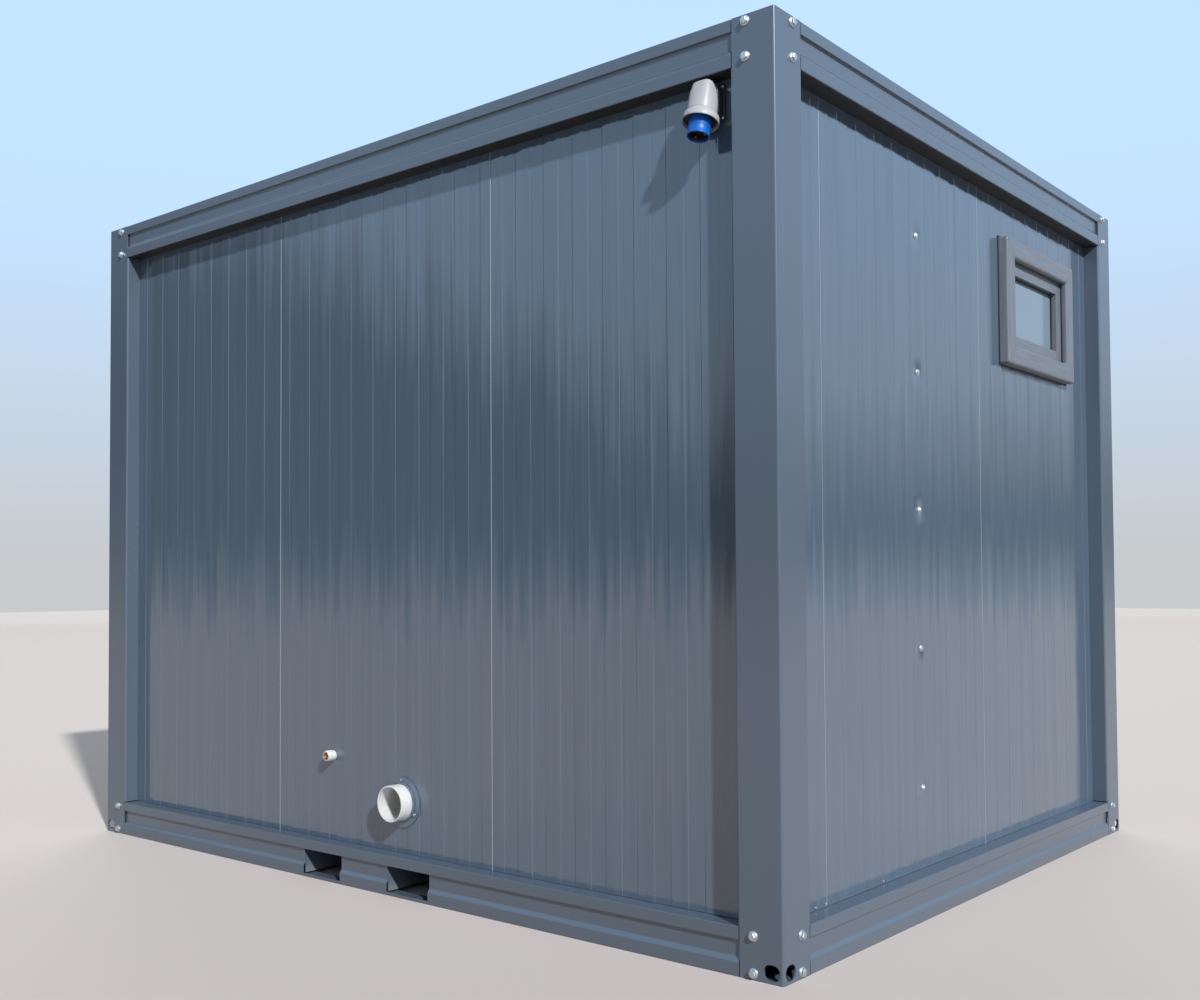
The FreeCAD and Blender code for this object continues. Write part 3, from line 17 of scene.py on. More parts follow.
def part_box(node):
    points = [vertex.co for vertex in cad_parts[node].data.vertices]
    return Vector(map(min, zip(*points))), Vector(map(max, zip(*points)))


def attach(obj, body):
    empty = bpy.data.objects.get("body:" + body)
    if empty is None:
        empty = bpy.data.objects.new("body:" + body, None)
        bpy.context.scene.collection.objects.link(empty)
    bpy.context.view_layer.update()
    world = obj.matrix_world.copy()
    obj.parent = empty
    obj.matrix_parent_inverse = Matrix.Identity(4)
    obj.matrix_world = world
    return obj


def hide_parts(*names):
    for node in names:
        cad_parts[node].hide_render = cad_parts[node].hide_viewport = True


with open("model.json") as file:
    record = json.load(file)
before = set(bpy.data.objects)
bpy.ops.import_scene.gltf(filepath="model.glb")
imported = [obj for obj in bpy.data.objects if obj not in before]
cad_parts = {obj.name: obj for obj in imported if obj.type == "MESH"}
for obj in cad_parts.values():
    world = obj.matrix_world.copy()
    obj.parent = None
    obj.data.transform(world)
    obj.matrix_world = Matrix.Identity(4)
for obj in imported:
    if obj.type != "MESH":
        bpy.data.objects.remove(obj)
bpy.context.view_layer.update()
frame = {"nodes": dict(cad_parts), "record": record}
nodes = frame["nodes"]
MM = 0.001
print("CAD nodes:", len(nodes))

# %% [markdown]
# Every later piece sits on the frame's own planes, so the sizes they share are
# written once here, in metres: half the length and width, the depth at which
# the wall skins lie behind the frame, and the height of the rails.

# %% Places on the frame
HALF_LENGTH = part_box("corner_post_rear_right")[1].x
HALF_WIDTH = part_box("corner_post_front_right")[1].y
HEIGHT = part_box("corner_post_rear_right")[1].z
SKIN = 53 * MM
RAIL = 120 * MM
REAR = Vector((0, -1, 0))
RIGHT = Vector((1, 0, 0))
FRONT = Vector((0, 1, 0))
LEFT = Vector((-1, 0, 0))
UP = Vector((0, 0, 1))
print("frame half sizes:", round(HALF_LENGTH, 4), round(HALF_WIDTH, 4), round(HEIGHT, 4))

# %% [markdown]
# A material is a tree of nodes. These small helpers add a node, fill its
# sockets with numbers or links, and wrap the few kinds of node that every
# finish uses. Colours are written as the usual 0 to 255 values and turned into
# the linear values that the renderer works with.

# %% Helpers for node trees
def linear(red, green, blue):
    """A screen colour as linear light, with alpha."""
    parts = [part / 255 for part in (red, green, blue)]
    return (*[p / 12.92 if p <= 0.04045 else ((p + 0.055) / 1.055) ** 2.4 for p in parts], 1.0)


def scaled(colour, factor):
    """A colour made darker or paler."""
    return tuple(min(1.0, part * factor) for part in colour[:3]) + (1.0,)


def fill(tree, node, inputs):
    """Set each input of a node, or link it where the value is a socket."""
    for name, value in inputs.items():
        if isinstance(value, bpy.types.NodeSocket):
            tree.links.new(value, node.inputs[name])
        else:
            node.inputs[name].default_value = value
    return node


def add(tree, kind, inputs=None, **settings):
    """A node with its settings, and its inputs set or linked."""
    made = tree.nodes.new(kind)
    for name, value in settings.items():
        setattr(made, name, value)
    return fill(tree, made, inputs or {})


def maths(tree, operation, first, second=0.0, third=0.0, clamp=False):
    made = add(tree, "ShaderNodeMath", {0: first, 1: second, 2: third}, operation=operation)
    made.use_clamp = clamp
    return made.outputs[0]


def mixed(tree, mask, low, high):
    return add(tree, "ShaderNodeMix", {0: mask, 6: low, 7: high}, data_type="RGBA").outputs[2]


def ramp(tree, value, low, high, start=0.0, end=1.0):
    made = add(tree, "ShaderNodeMapRange", {
        "Value": value, "From Min": low, "From Max": high, "To Min": start, "To Max": end})
    return made.outputs[0]


print("helpers for node trees are ready")

# %% [markdown]
# All patterns are placed by Object coordinates, which stay with a piece when it
# moves. Noise is the pattern that most finishes need: a stretch makes it run
# along one direction. A group of nodes holds an effect that finishes share.

# %% Helpers for patterns and groups
NUMBER = "NodeSocketFloat"
COLOUR = "NodeSocketColor"


def object_place(tree):
    return add(tree, "ShaderNodeTexCoord").outputs["Object"]


def axes(tree, place):
    """The outputs X, Y and Z of a place."""
    return add(tree, "ShaderNodeSeparateXYZ", {"Vector": place}).outputs


def noise(tree, place, scale, detail, stretch=None):
    """Noise at a place, its three directions scaled apart by a stretch."""
    if stretch:
        place = add(tree, "ShaderNodeMapping", {"Vector": place, "Scale": stretch}).outputs[0]
    made = add(tree, "ShaderNodeTexNoise", {"Vector": place, "Scale": scale, "Detail": detail})
    return made.outputs[0]


def brightness(tree, colour, value):
    return add(tree, "ShaderNodeHueSaturation", {"Color": colour, "Value": value}).outputs[0]


def shader_group(name, inputs, outputs):
    """An empty node group; inputs are (name, socket kind, default)."""
    tree = bpy.data.node_groups.new(name, "ShaderNodeTree")
    for label, kind, default in inputs:
        socket = tree.interface.new_socket(label, in_out="INPUT", socket_type=kind)
        socket.default_value = default
    for label, kind in outputs:
        tree.interface.new_socket(label, in_out="OUTPUT", socket_type=kind)
    return tree, tree.nodes.new("NodeGroupInput"), tree.nodes.new("NodeGroupOutput")


print("helpers for patterns and groups are ready")

# %% [markdown]
# No surface is one flat colour. A slow cloud changes its depth a little, a fine
# grain gives it a skin, and the gloss wanders with the cloud. One function makes
# two such groups: the film of a paint on steel, and the quieter, finer skin that
# moulded plastic, laminate, plated metal and glaze share.

# %% Shared effect: clouded skin
GREY = (0.5, 0.5, 0.5, 1)


def make_clouded_skin(name, cloud_size, depth, grain_size, gloss_range):
    """A group; the sizes are (scale, detail) of its noise."""
    tree, start, end = shader_group(
        name,
        [("Colour", COLOUR, GREY), ("Cloud Scale", NUMBER, cloud_size[0]),
         ("Cloud Depth", NUMBER, depth), ("Gloss", NUMBER, 0.35), ("Gloss Range", NUMBER, gloss_range)],
        [("Colour", COLOUR), ("Roughness", NUMBER), ("Height", NUMBER)])
    given = start.outputs
    place = object_place(tree)
    cloud = noise(tree, place, given["Cloud Scale"], cloud_size[1])
    swing = maths(tree, "SUBTRACT", cloud, 0.5)
    value = maths(tree, "MULTIPLY_ADD", swing, given["Cloud Depth"], 1.0)
    fill(tree, end, {
        "Colour": brightness(tree, given["Colour"], value),
        "Roughness": maths(tree, "MULTIPLY_ADD", swing, given["Gloss Range"], given["Gloss"]),
        "Height": noise(tree, place, *grain_size)})
    return tree


PAINT_FILM = make_clouded_skin("Paint film", (1.5, 5.0), 0.12, (700.0, 1.0), 0.08)
MOULDED_SKIN = make_clouded_skin("Moulded skin", (25.0, 4.0), 0.06, (1500.0, 2.0), 0.1)
print("groups:", PAINT_FILM.name, MOULDED_SKIN.name)

# %% [markdown]
# A container stands on the ground, so fine pale dust gathers on its lowest
# rails and thins out upwards. The mask is strongest at the ground, broken up
# by noise.

# %% Shared effect: dust near the ground
def make_ground_dust():
    tree, start, end = shader_group(
        "Ground dust", [("Reach", NUMBER, 0.25), ("Amount", NUMBER, 0.3)], [("Mask", NUMBER)])
    place = object_place(tree)
    share = maths(tree, "DIVIDE", axes(tree, place)["Z"], start.outputs["Reach"])
    fall = maths(tree, "SUBTRACT", 1.0, share, clamp=True)
    broken = ramp(tree, noise(tree, place, 240.0, 6.0), 0.1, 0.9)
    mask = maths(tree, "MULTIPLY", maths(tree, "MULTIPLY", fall, broken), start.outputs["Amount"])
    fill(tree, end, {"Mask": mask})
    return tree


GROUND_DUST = make_ground_dust()
print("group:", GROUND_DUST.name)

# %% [markdown]
# Each finish starts from a Principled shader. A paint takes the film group and
# the dust group, bumps its normal with the film's grain and keeps the constant
# values on the shader's own sockets. The full specular level and the index of
# refraction give it the mirror of a varnish.

# %% Paints
DUST = linear(150, 146, 138)
FRAME_GREY = linear(80, 93, 109)
GRAIN_STRENGTH = 0.05
GRAIN_DEPTH = 0.5 * MM


def new_finish(name):
    material = bpy.data.materials.new(name)
    material.use_nodes = True
    return material, material.node_tree, material.node_tree.nodes["Principled BSDF"]


def bumped(tree, shader, height, strength, distance):
    bump = add(tree, "ShaderNodeBump", {"Strength": strength, "Distance": distance, "Height": height})
    fill(tree, shader, {"Normal": bump.outputs[0]})


def paint(name, colour, gloss, cloud=0.08, dust=0.03, reach=0.12, mirror=1.52):
    material, tree, shader = new_finish(name)
    film = add(tree, "ShaderNodeGroup", {
        "Colour": colour, "Gloss": gloss, "Cloud Depth": cloud}, node_tree=PAINT_FILM).outputs
    dirt = add(tree, "ShaderNodeGroup", {
        "Reach": reach, "Amount": dust}, node_tree=GROUND_DUST).outputs[0]
    fill(tree, shader, {
        "Base Color": mixed(tree, dirt, film["Colour"], DUST),
        "Roughness": maths(tree, "MULTIPLY_ADD", dirt, 0.2, film["Roughness"]),
        "Specular IOR Level": 1.0, "IOR": mirror})
    bumped(tree, shader, film["Height"], GRAIN_STRENGTH, GRAIN_DEPTH)
    return material


frame_paint = paint("Frame paint", FRAME_GREY, 0.26)
door_paint = paint("Door paint", linear(78, 91, 107), 0.26)
# The fork tunnels' paint turns pale over its lowest five centimetres, broken up by noise.
tunnel_paint_pale_low = paint("Tunnel paint, pale near the ground", FRAME_GREY, 0.34, dust=1.0, reach=0.05)
# The joints' pale paint is a painted highlight of the panels' rolled edges.
joint_highlight_paint = paint("Painted joint highlight", linear(168, 178, 188), 0.3)
print("paints:", frame_paint.name, door_paint.name, tunnel_paint_pale_low.name, joint_highlight_paint.name)

# %% [markdown]
# The wall skins are thin coil-coated sheet, glossier than the frame. Foam
# behind them never sets quite flat. Each narrow strip between two ribs leans a
# little its own way, which draws a mirrored edge out into upright spikes, so
# noise in tall columns tips the normal up or down. Round each screw of the
# partition the sheet is drawn in. The room side of the same panels is white,
# which the position tells.

# %% Parts of the wall skin
SCREW_COLUMN = -351.5 * MM
SCREW_FIRST = 350 * MM
SCREW_STEP = 400 * MM
DENT_REACH = 50 * MM
ROOM_HALF_LENGTH = HALF_LENGTH - 112.5 * MM
ROOM_HALF_WIDTH = HALF_WIDTH - 112.5 * MM
LEAN = 0.026


def screw_dents(tree, place):
    """Round dips on the right wall, one per screw of the column."""
    parts = axes(tree, place)
    along = maths(tree, "SUBTRACT", parts["Y"], SCREW_COLUMN)
    raised = maths(tree, "SUBTRACT", parts["Z"], SCREW_FIRST - SCREW_STEP / 2)
    upward = maths(tree, "SUBTRACT", maths(tree, "MODULO", raised, SCREW_STEP), SCREW_STEP / 2)
    squared_far = maths(tree, "MULTIPLY_ADD", along, along, maths(tree, "MULTIPLY", upward, upward))
    near = ramp(tree, maths(tree, "SQRT", squared_far), 0.0, DENT_REACH, 1.0, 0.0)
    right_side = maths(tree, "GREATER_THAN", parts["X"], 0.0)
    return maths(tree, "MULTIPLY", maths(tree, "POWER", near, 2.0), right_side)


def room_side(tree, place):
    """One inside the planes of the inner wall faces, else none."""
    parts = axes(tree, place)
    inside = [maths(tree, "LESS_THAN", maths(tree, "ABSOLUTE", parts[axis]), limit)
              for axis, limit in (("X", ROOM_HALF_LENGTH), ("Y", ROOM_HALF_WIDTH))]
    return maths(tree, "MULTIPLY", *inside)


def column_lean(tree, place):
    """The normal, tipped up or down by a different amount in each tall column."""
    lean = noise(tree, place, 1.0, 2.0, (38.0, 38.0, 1.7))
    tip = add(tree, "ShaderNodeCombineXYZ", {"Z": ramp(tree, lean, 0.25, 0.75, -LEAN, LEAN)}).outputs[0]
    level = add(tree, "ShaderNodeNewGeometry").outputs["Normal"]
    leaned = add(tree, "ShaderNodeVectorMath", {0: level, 1: tip}, operation="ADD").outputs[0]
    return add(tree, "ShaderNodeVectorMath", {0: leaned}, operation="NORMALIZE").outputs[0]


print("dents, room side and leaning columns are ready")

# %% [markdown]
# The skin itself is a paint whose Bump node is filled anew: wide soft waves, fine streaks and the dents
# are its height, on top of the leaning columns. The streaks also lighten and darken the colour a little,
# as a painted reflection of bright and dark bands.

# %% Wall skin
ROOM_WHITE = linear(222, 223, 222)
WAVE_HEIGHT, STREAK_HEIGHT, DENT_HEIGHT = 8.0, 1.4, -14.0


def wall_skin(name, colour):
    material = paint(name, colour, 0.1, cloud=0.06, dust=0.06, reach=0.3, mirror=1.6)
    tree = material.node_tree
    shader = tree.nodes["Principled BSDF"]
    place = object_place(tree)
    streak = noise(tree, place, 1.0, 3.0, (60.0, 60.0, 1.2))
    wave = noise(tree, place, 1.0, 2.0, (5.0, 5.0, 1.6))
    height = maths(tree, "MULTIPLY", streak, STREAK_HEIGHT)
    height = maths(tree, "MULTIPLY_ADD", wave, WAVE_HEIGHT, height)
    height = maths(tree, "MULTIPLY_ADD", screw_dents(tree, place), DENT_HEIGHT, height)
    bump = shader.inputs["Normal"].links[0].from_node
    fill(tree, bump, {
        "Strength": 0.3, "Distance": 1.2 * MM, "Height": height, "Normal": column_lean(tree, place)})
    plain = shader.inputs["Base Color"].links[0].from_socket
    # Painted reflection: the streak noise lightens and darkens the colour in tall bands.
    streak_painted_reflection = brightness(tree, plain, ramp(tree, streak, 0.2, 0.8, 0.9, 1.1))
    fill(tree, shader, {"Base Color": mixed(tree, room_side(tree, place), streak_painted_reflection, ROOM_WHITE)})
    return material


panel_paint = wall_skin("Panel paint", linear(81, 97, 115))
print("wall skin:", panel_paint.name)

# %% [markdown]
# Plastics, ceramic and laminate use the moulded group. Plated metals are the
# same idea with the metal value up: zinc is bright with a cloudy gloss. The
# white pipe is thin enough to let some light through.

# %% Plastics and metals
def moulded(name, colour, gloss, depth=0.06, grain=0.05, metal=0.0, scale=25.0, spread=0.1):
    material, tree, shader = new_finish(name)
    skin = add(tree, "ShaderNodeGroup", {
        "Colour": colour, "Gloss": gloss, "Gloss Range": spread, "Cloud Depth": depth,
        "Cloud Scale": scale}, node_tree=MOULDED_SKIN).outputs
    fill(tree, shader, {
        "Base Color": skin["Colour"], "Roughness": skin["Roughness"], "Metallic": metal})
    bumped(tree, shader, skin["Height"], grain, 0.4 * MM)
    return material


zinc = moulded("Zinc plate", linear(196, 201, 204), 0.46, 0.25, metal=1.0, scale=180.0, spread=0.25)
chrome = moulded("Chrome", linear(222, 224, 226), 0.12, depth=0.05, grain=0.01, metal=1.0)
brass = moulded("Brass", linear(168, 126, 80), 0.32, depth=0.2, metal=1.0, scale=120.0)
pipe_white = moulded("Pipe white", linear(238, 238, 234), 0.3)
inlet_grey = moulded("Inlet grey", linear(176, 177, 180), 0.4)
# The inlet's wall box and foot are painted darker than their own grey, as painted shade behind the
# housing.
inlet_base_painted_shade = moulded("Inlet base grey with painted shade", linear(52, 57, 64), 0.5)
inlet_blue = moulded("Inlet blue", linear(0, 94, 186), 0.42)
# Dark navy: painted shade in the inlet's core, and the smoked tint of the board's window.
core_shade_and_smoked_tint = moulded("Core shade and smoked tint", linear(14, 22, 44), 0.5)
rubber = moulded("Rubber seal", linear(22, 23, 24), 0.6, grain=0.2)
glaze = moulded("Sanitary glaze", linear(232, 232, 228), 0.1, depth=0.03, grain=0.01)
seat_white = moulded("Warm white plastic", linear(228, 228, 224), 0.25)
laminate = moulded("Laminate", linear(206, 209, 211), 0.4, depth=0.08, grain=0.15, scale=300.0)
lining = moulded("Ceiling lining", linear(226, 227, 227), 0.45)
pipe_tree = pipe_white.node_tree
fill(pipe_tree, pipe_tree.nodes["Principled BSDF"], {
    "Subsurface Weight": 0.8, "Subsurface Radius": (1.0, 1.0, 1.0), "Subsurface Scale": 30 * MM})
print("finishes so far:", len(bpy.data.materials))

# %% [markdown]
# Galvanised steel freezes into crystals that each mirror the light their own
# way, so Voronoi cells set its tone and gloss. The vinyl deck carries pale
# chips, also cells, and the pane is frosted by a soft cloud in its gloss.

# %% Galvanised sheet, deck and glass
def spangled(name, colour):
    material, tree, shader = new_finish(name)
    cells = add(tree, "ShaderNodeTexVoronoi", {"Vector": object_place(tree), "Scale": 90.0})
    tone = axes(tree, cells.outputs["Color"])["X"]
    fill(tree, shader, {
        "Base Color": mixed(tree, tone, scaled(colour, 0.72), colour),
        "Roughness": ramp(tree, tone, 0, 1, 0.32, 0.5), "Metallic": 1.0})
    return material


def vinyl_deck(name, colour):
    material, tree, shader = new_finish(name)
    chips = add(tree, "ShaderNodeTexVoronoi", {"Vector": object_place(tree), "Scale": 260.0})
    speck = ramp(tree, chips.outputs["Distance"], 0.2, 0.45)
    fill(tree, shader, {
        "Base Color": mixed(tree, speck, scaled(colour, 1.9), colour),
        "Roughness": ramp(tree, speck, 0, 1, 0.5, 0.62)})
    return material


def frosted_glass(name, colour):
    material, tree, shader = new_finish(name)
    cloud = noise(tree, object_place(tree), 9.0, 4.0)
    fill(tree, shader, {
        "Base Color": mixed(tree, cloud, scaled(colour, 0.86), colour),
        "Roughness": ramp(tree, cloud, 0, 1, 0.06, 0.16),
        "Transmission Weight": 0.2, "IOR": 1.5})
    return material


galvanised = spangled("Galvanised sheet", linear(186, 190, 194))
deck = vinyl_deck("Vinyl deck", linear(96, 100, 104))
glass = frosted_glass("Frosted pane", linear(140, 160, 178))
print("sheet, deck and pane are ready")

# %% [markdown]
# The window's profiles are plastic with a printed foil: warm grey, a little
# grain along the member, and a fine dark mitre line at each corner. The line
# lies where the distances to the two edges are equal, so it can be found from
# the position alone and works for the frame and the sash.

# %% Window foil
WINDOW_MIDDLE = Vector((0, 567.5, 1863)) * MM
WINDOW_HALF = (305 * MM, 210 * MM)
GRAIN_LEVEL = (260.0, 8.0, 260.0)
GRAIN_UPRIGHT = (260.0, 260.0, 8.0)


def window_foil(name, colour):
    material, tree, shader = new_finish(name)
    place = object_place(tree)
    centred = add(tree, "ShaderNodeMapping", {"Vector": place, "Location": tuple(-WINDOW_MIDDLE)})
    parts = axes(tree, centred.outputs[0])
    across = maths(tree, "ABSOLUTE", parts["Y"])
    upward = maths(tree, "ABSOLUTE", parts["Z"])
    offset = maths(tree, "SUBTRACT", across, upward)
    offset = maths(tree, "SUBTRACT", offset, WINDOW_HALF[0] - WINDOW_HALF[1])
    mitre = ramp(tree, maths(tree, "ABSOLUTE", offset), 0.5 * MM, 1.2 * MM, 1.0, 0.0)
    skin = add(tree, "ShaderNodeGroup", {
        "Colour": colour, "Gloss": 0.36, "Cloud Scale": 90.0, "Cloud Depth": 0.12},
        node_tree=MOULDED_SKIN).outputs
    grain = add(tree, "ShaderNodeMix", {
        0: maths(tree, "GREATER_THAN", offset, 0.0), 2: noise(tree, place, 1.0, 3.0, GRAIN_LEVEL),
        3: noise(tree, place, 1.0, 3.0, GRAIN_UPRIGHT)}, data_type="FLOAT").outputs[0]
    toned = brightness(tree, skin["Colour"], ramp(tree, grain, 0.25, 0.75, 0.78, 1.16))
    fill(tree, shader, {
        "Base Color": mixed(tree, mitre, toned, scaled(colour, 0.45)), "Roughness": skin["Roughness"]})
    bumped(tree, shader, maths(tree, "SUBTRACT", grain, mitre), 0.25, 0.6 * MM)
    return material


foil = window_foil("Window foil", linear(111, 117, 127))
print("window foil:", foil.name)

# %% [markdown]
# Every CAD node now gets its finish. Nodes that are dressed further on are
# hidden there, but carry a finish all the same.

# %% Finishes on the CAD nodes
RAILS = [name for name in nodes if "_rail_" in name]
POSTS = [name for name in nodes if name.startswith("corner_post")]
WALL_PANELS = [name for name in nodes if "_panel" in name and name != "ceiling_panels"]
FINISHES = {
    frame_paint: RAILS + POSTS + ["rail_tongues"],
    tunnel_paint_pale_low: ["fork_tunnels"],
    panel_paint: WALL_PANELS + ["waste_flange"],
    door_paint: ["door_leaf", "door_frame"],
    zinc: ["frame_bolts", "panel_screws", "door_hinge_pins", "door_hinge_sleeves"],
    galvanised: ["floor_joists", "roof_sheet"],
    deck: ["floor_deck"],
    lining: ["ceiling_panels"],
    laminate: ["cubicle_walls", "cubicle_door"],
    foil: ["window_frame", "window_sash"],
    glass: ["window_pane"],
    pipe_white: ["waste_pipe", "water_inlet", "water_pipes", "basin_trap", "distribution_board",
                 "ceiling_light", "window_handle"],
    seat_white: ["toilet_seat", "cistern"],
    glaze: ["toilet_bowl", "washbasin"],
    chrome: ["door_lever", "cubicle_knob", "cubicle_hinge_pins", "cubicle_hinge_sleeves", "seat_hinge",
             "flush_button", "tap_body", "tap_lever"],
    brass: ["water_thread"],
    inlet_grey: ["inlet_housing"],
    inlet_blue: ["inlet_shroud"],
}
finish_of = {name: finish for finish, names in FINISHES.items() for name in names}
for name, item in nodes.items():
    item.data.materials.clear()
    item.data.materials.append(finish_of[name])
print("CAD nodes with a finish:", len(finish_of), "of", len(nodes))

# %% [markdown]
# A piece is a mesh at the origin, with its place in its points, that rides on a
# body of the frame. It may stand for CAD nodes, which are then hidden. Its
# faces are shaded smooth, apart from edges above an angle.

# %% Helpers for pieces
def mesh_of(name, form):
    """A plain mesh from a bmesh, which is freed."""
    mesh = bpy.data.meshes.new(name)
    form.to_mesh(mesh)
    form.free()
    return mesh


def smooth_by_angle(mesh, degrees=35):
    mesh.polygons.foreach_set("use_smooth", [True] * len(mesh.polygons))
    mesh.set_sharp_from_angle(angle=math.radians(degrees))
    mesh.update()
    return mesh


def linked(name, data):
    """A new object in the scene."""
    item = bpy.data.objects.new(name, data)
    bpy.context.scene.collection.objects.link(item)
    return item


def evaluated_mesh(item):
    """The mesh that an object's modifiers give; the object is removed."""
    view = bpy.context.evaluated_depsgraph_get()
    mesh = bpy.data.meshes.new_from_object(item.evaluated_get(view))
    bpy.data.objects.remove(item)
    return mesh


def finished_piece(name, mesh, finish, body, stands_for=()):
    """A piece at the origin that rides on a body."""
    piece = linked(name, mesh)
    if not mesh.materials:
        mesh.materials.append(finish)
    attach(piece, body)
    if stands_for:
        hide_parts(*stands_for)


print("helpers for pieces are ready")

# %% [markdown]
# Real edges are never knife-sharp: folded steel has a bend, moulded plastic a
# radius. A copy of a CAD node's mesh is welded, its flat triangles dissolved
# and its sharp edges bevelled. The copy then stands for the node. Rails get a
# small bend along their length, and the window members a generous round. The
# normals are led by the large faces, so that a flat stays flat beside a bevel.

# %% Soft edges on the CAD forms
SHARP = math.radians(30)
FLAT = math.radians(1)
bodies = frame["record"]["behaviour"]["bodies"]
node_body = {name: body for body, names in bodies.items() for name in names}


def softened(name, width, segments, smooth, shortest):
    """A bevelled copy that stands for a CAD node; edges up to the shortest stay sharp."""
    form = bmesh.new()
    form.from_mesh(nodes[name].data)
    bmesh.ops.remove_doubles(form, verts=form.verts, dist=1e-5)
    bmesh.ops.dissolve_limit(form, angle_limit=FLAT, verts=form.verts, edges=form.edges)
    sharp = [edge for edge in form.edges
             if len(edge.link_faces) == 2 and edge.calc_length() > shortest
             and edge.calc_face_angle(0) > SHARP]
    bmesh.ops.bevel(form, geom=sharp, offset=width, offset_type="OFFSET", segments=segments,
                    profile=0.5, affect="EDGES", clamp_overlap=True)
    bmesh.ops.triangulate(form, faces=form.faces, ngon_method="EAR_CLIP")
    label = f"{name}_soft"
    carrier = linked(f"{name}_carrier", smooth_by_angle(mesh_of(label, form), smooth))
    carrier.modifiers.new("weighted", "WEIGHTED_NORMAL").keep_sharp = True
    mesh = evaluated_mesh(carrier)
    finished_piece(label, mesh, finish_of[name], node_body[name], [name])


SOFT_EDGES = [
    (2.5 * MM, 2, 10, 150 * MM, RAILS),
    (1.2 * MM, 1, 5, 0, WALL_PANELS),
    (11 * MM, 6, 40, 0, ["window_frame"]),
    (6 * MM, 5, 40, 0, ["window_sash", "washbasin"]),
    (4 * MM, 5, 40, 0, ["distribution_board", "toilet_seat"]),
    (2 * MM, 3, 10, 0, ["door_leaf", "waste_flange", "door_frame", "cubicle_door", "window_handle"]),
    (12 * MM, 6, 40, 0, ["ceiling_light"]),
    (12 * MM, 6, 10, 60 * MM, ["cistern"]),
]
for width, segments, smooth, shortest, names in SOFT_EDGES:
    for name in names:
        softened(name, width, segments, smooth, shortest)
print("softened pieces:", sum(len(row[-1]) for row in SOFT_EDGES))

# %% [markdown]
# Bolts, screws and rivets repeat, so one Geometry Nodes tree sets them: it
# puts a fixing on every point, turned to face the way the point's "facing"
# attribute says and spun by a seeded random angle. The result is realised
# and turned into a plain mesh.

# %% Tree for fixings on points
def fixings_tree():
    tree = bpy.data.node_groups.new("Fixings on points", "GeometryNodeTree")
    sockets = {}
    for label, kind in (("Points", "NodeSocketGeometry"), ("Fixing", "NodeSocketObject"),
                        ("Finish", "NodeSocketMaterial"), ("Largest Spin", "NodeSocketFloat"),
                        ("Seed", "NodeSocketInt")):
        sockets[label] = tree.interface.new_socket(label, in_out="INPUT", socket_type=kind).identifier
    tree.interface.new_socket("Fixings", in_out="OUTPUT", socket_type="NodeSocketGeometry")
    given = tree.nodes.new("NodeGroupInput").outputs
    end = tree.nodes.new("NodeGroupOutput")
    facing = add(tree, "GeometryNodeInputNamedAttribute", {"Name": "facing"}, data_type="FLOAT_VECTOR")
    turned = add(tree, "FunctionNodeAlignRotationToVector", {"Vector": facing.outputs[0]}, axis="Z")
    chance = add(tree, "FunctionNodeRandomValue", data_type="FLOAT")
    fill(tree, chance, {3: given["Largest Spin"], "Seed": given["Seed"]})
    spin = add(tree, "FunctionNodeAxisAngleToRotation", {"Axis": (0, 0, 1), "Angle": chance.outputs[1]})
    spun = add(tree, "FunctionNodeRotateRotation", {
        "Rotation": turned.outputs[0], "Rotate By": spin.outputs[0]}, rotation_space="LOCAL")
    fixing = add(tree, "GeometryNodeObjectInfo", {"Object": given["Fixing"]})
    spread = add(tree, "GeometryNodeInstanceOnPoints", {
        "Points": given["Points"], "Instance": fixing.outputs["Geometry"], "Rotation": spun.outputs[0]})
    real = add(tree, "GeometryNodeRealizeInstances", {"Geometry": spread.outputs[0]})
    painted = add(tree, "GeometryNodeSetMaterial", {
        "Geometry": real.outputs[0], "Material": given["Finish"]})
    fill(tree, end, {0: painted.outputs[0]})
    return tree, sockets


FIXINGS, FIXING_SOCKETS = fixings_tree()


def fixings(name, spots, source, finish, body="container", spin=0.0, seed=1, stands_for=()):
    """Copies of a source mesh at (place, facing) spots, as one plain mesh."""
    points = bpy.data.meshes.new(f"{name}_points")
    points.from_pydata([tuple(place) for place, _ in spots], [], [])
    attribute = points.attributes.new("facing", "FLOAT_VECTOR", "POINT")
    attribute.data.foreach_set("vector", [part for _, facing in spots for part in facing])
    carrier = linked(f"{name}_carrier", points)
    sample = bpy.data.objects.new(f"{name}_sample", source)
    modifier = carrier.modifiers.new("fixings", "NODES")
    modifier.node_group = FIXINGS
    for label, value in (("Fixing", sample), ("Finish", finish), ("Largest Spin", spin), ("Seed", seed)):
        modifier[FIXING_SOCKETS[label]] = value
    mesh = evaluated_mesh(carrier)
    mesh.name = name
    bpy.data.objects.remove(sample)
    print(name, len(spots), "fixings,", len(mesh.polygons), "faces")
    finished_piece(name, mesh, finish, body, stands_for)


print("tree:", FIXINGS.name)

# %% [markdown]
# Turned parts come from a profile of (radius, height) points, in millimetres,
# swept round an axis. With six steps the same sweep gives a hexagon. Doubles at
# the poles are merged and the normals set outwards.

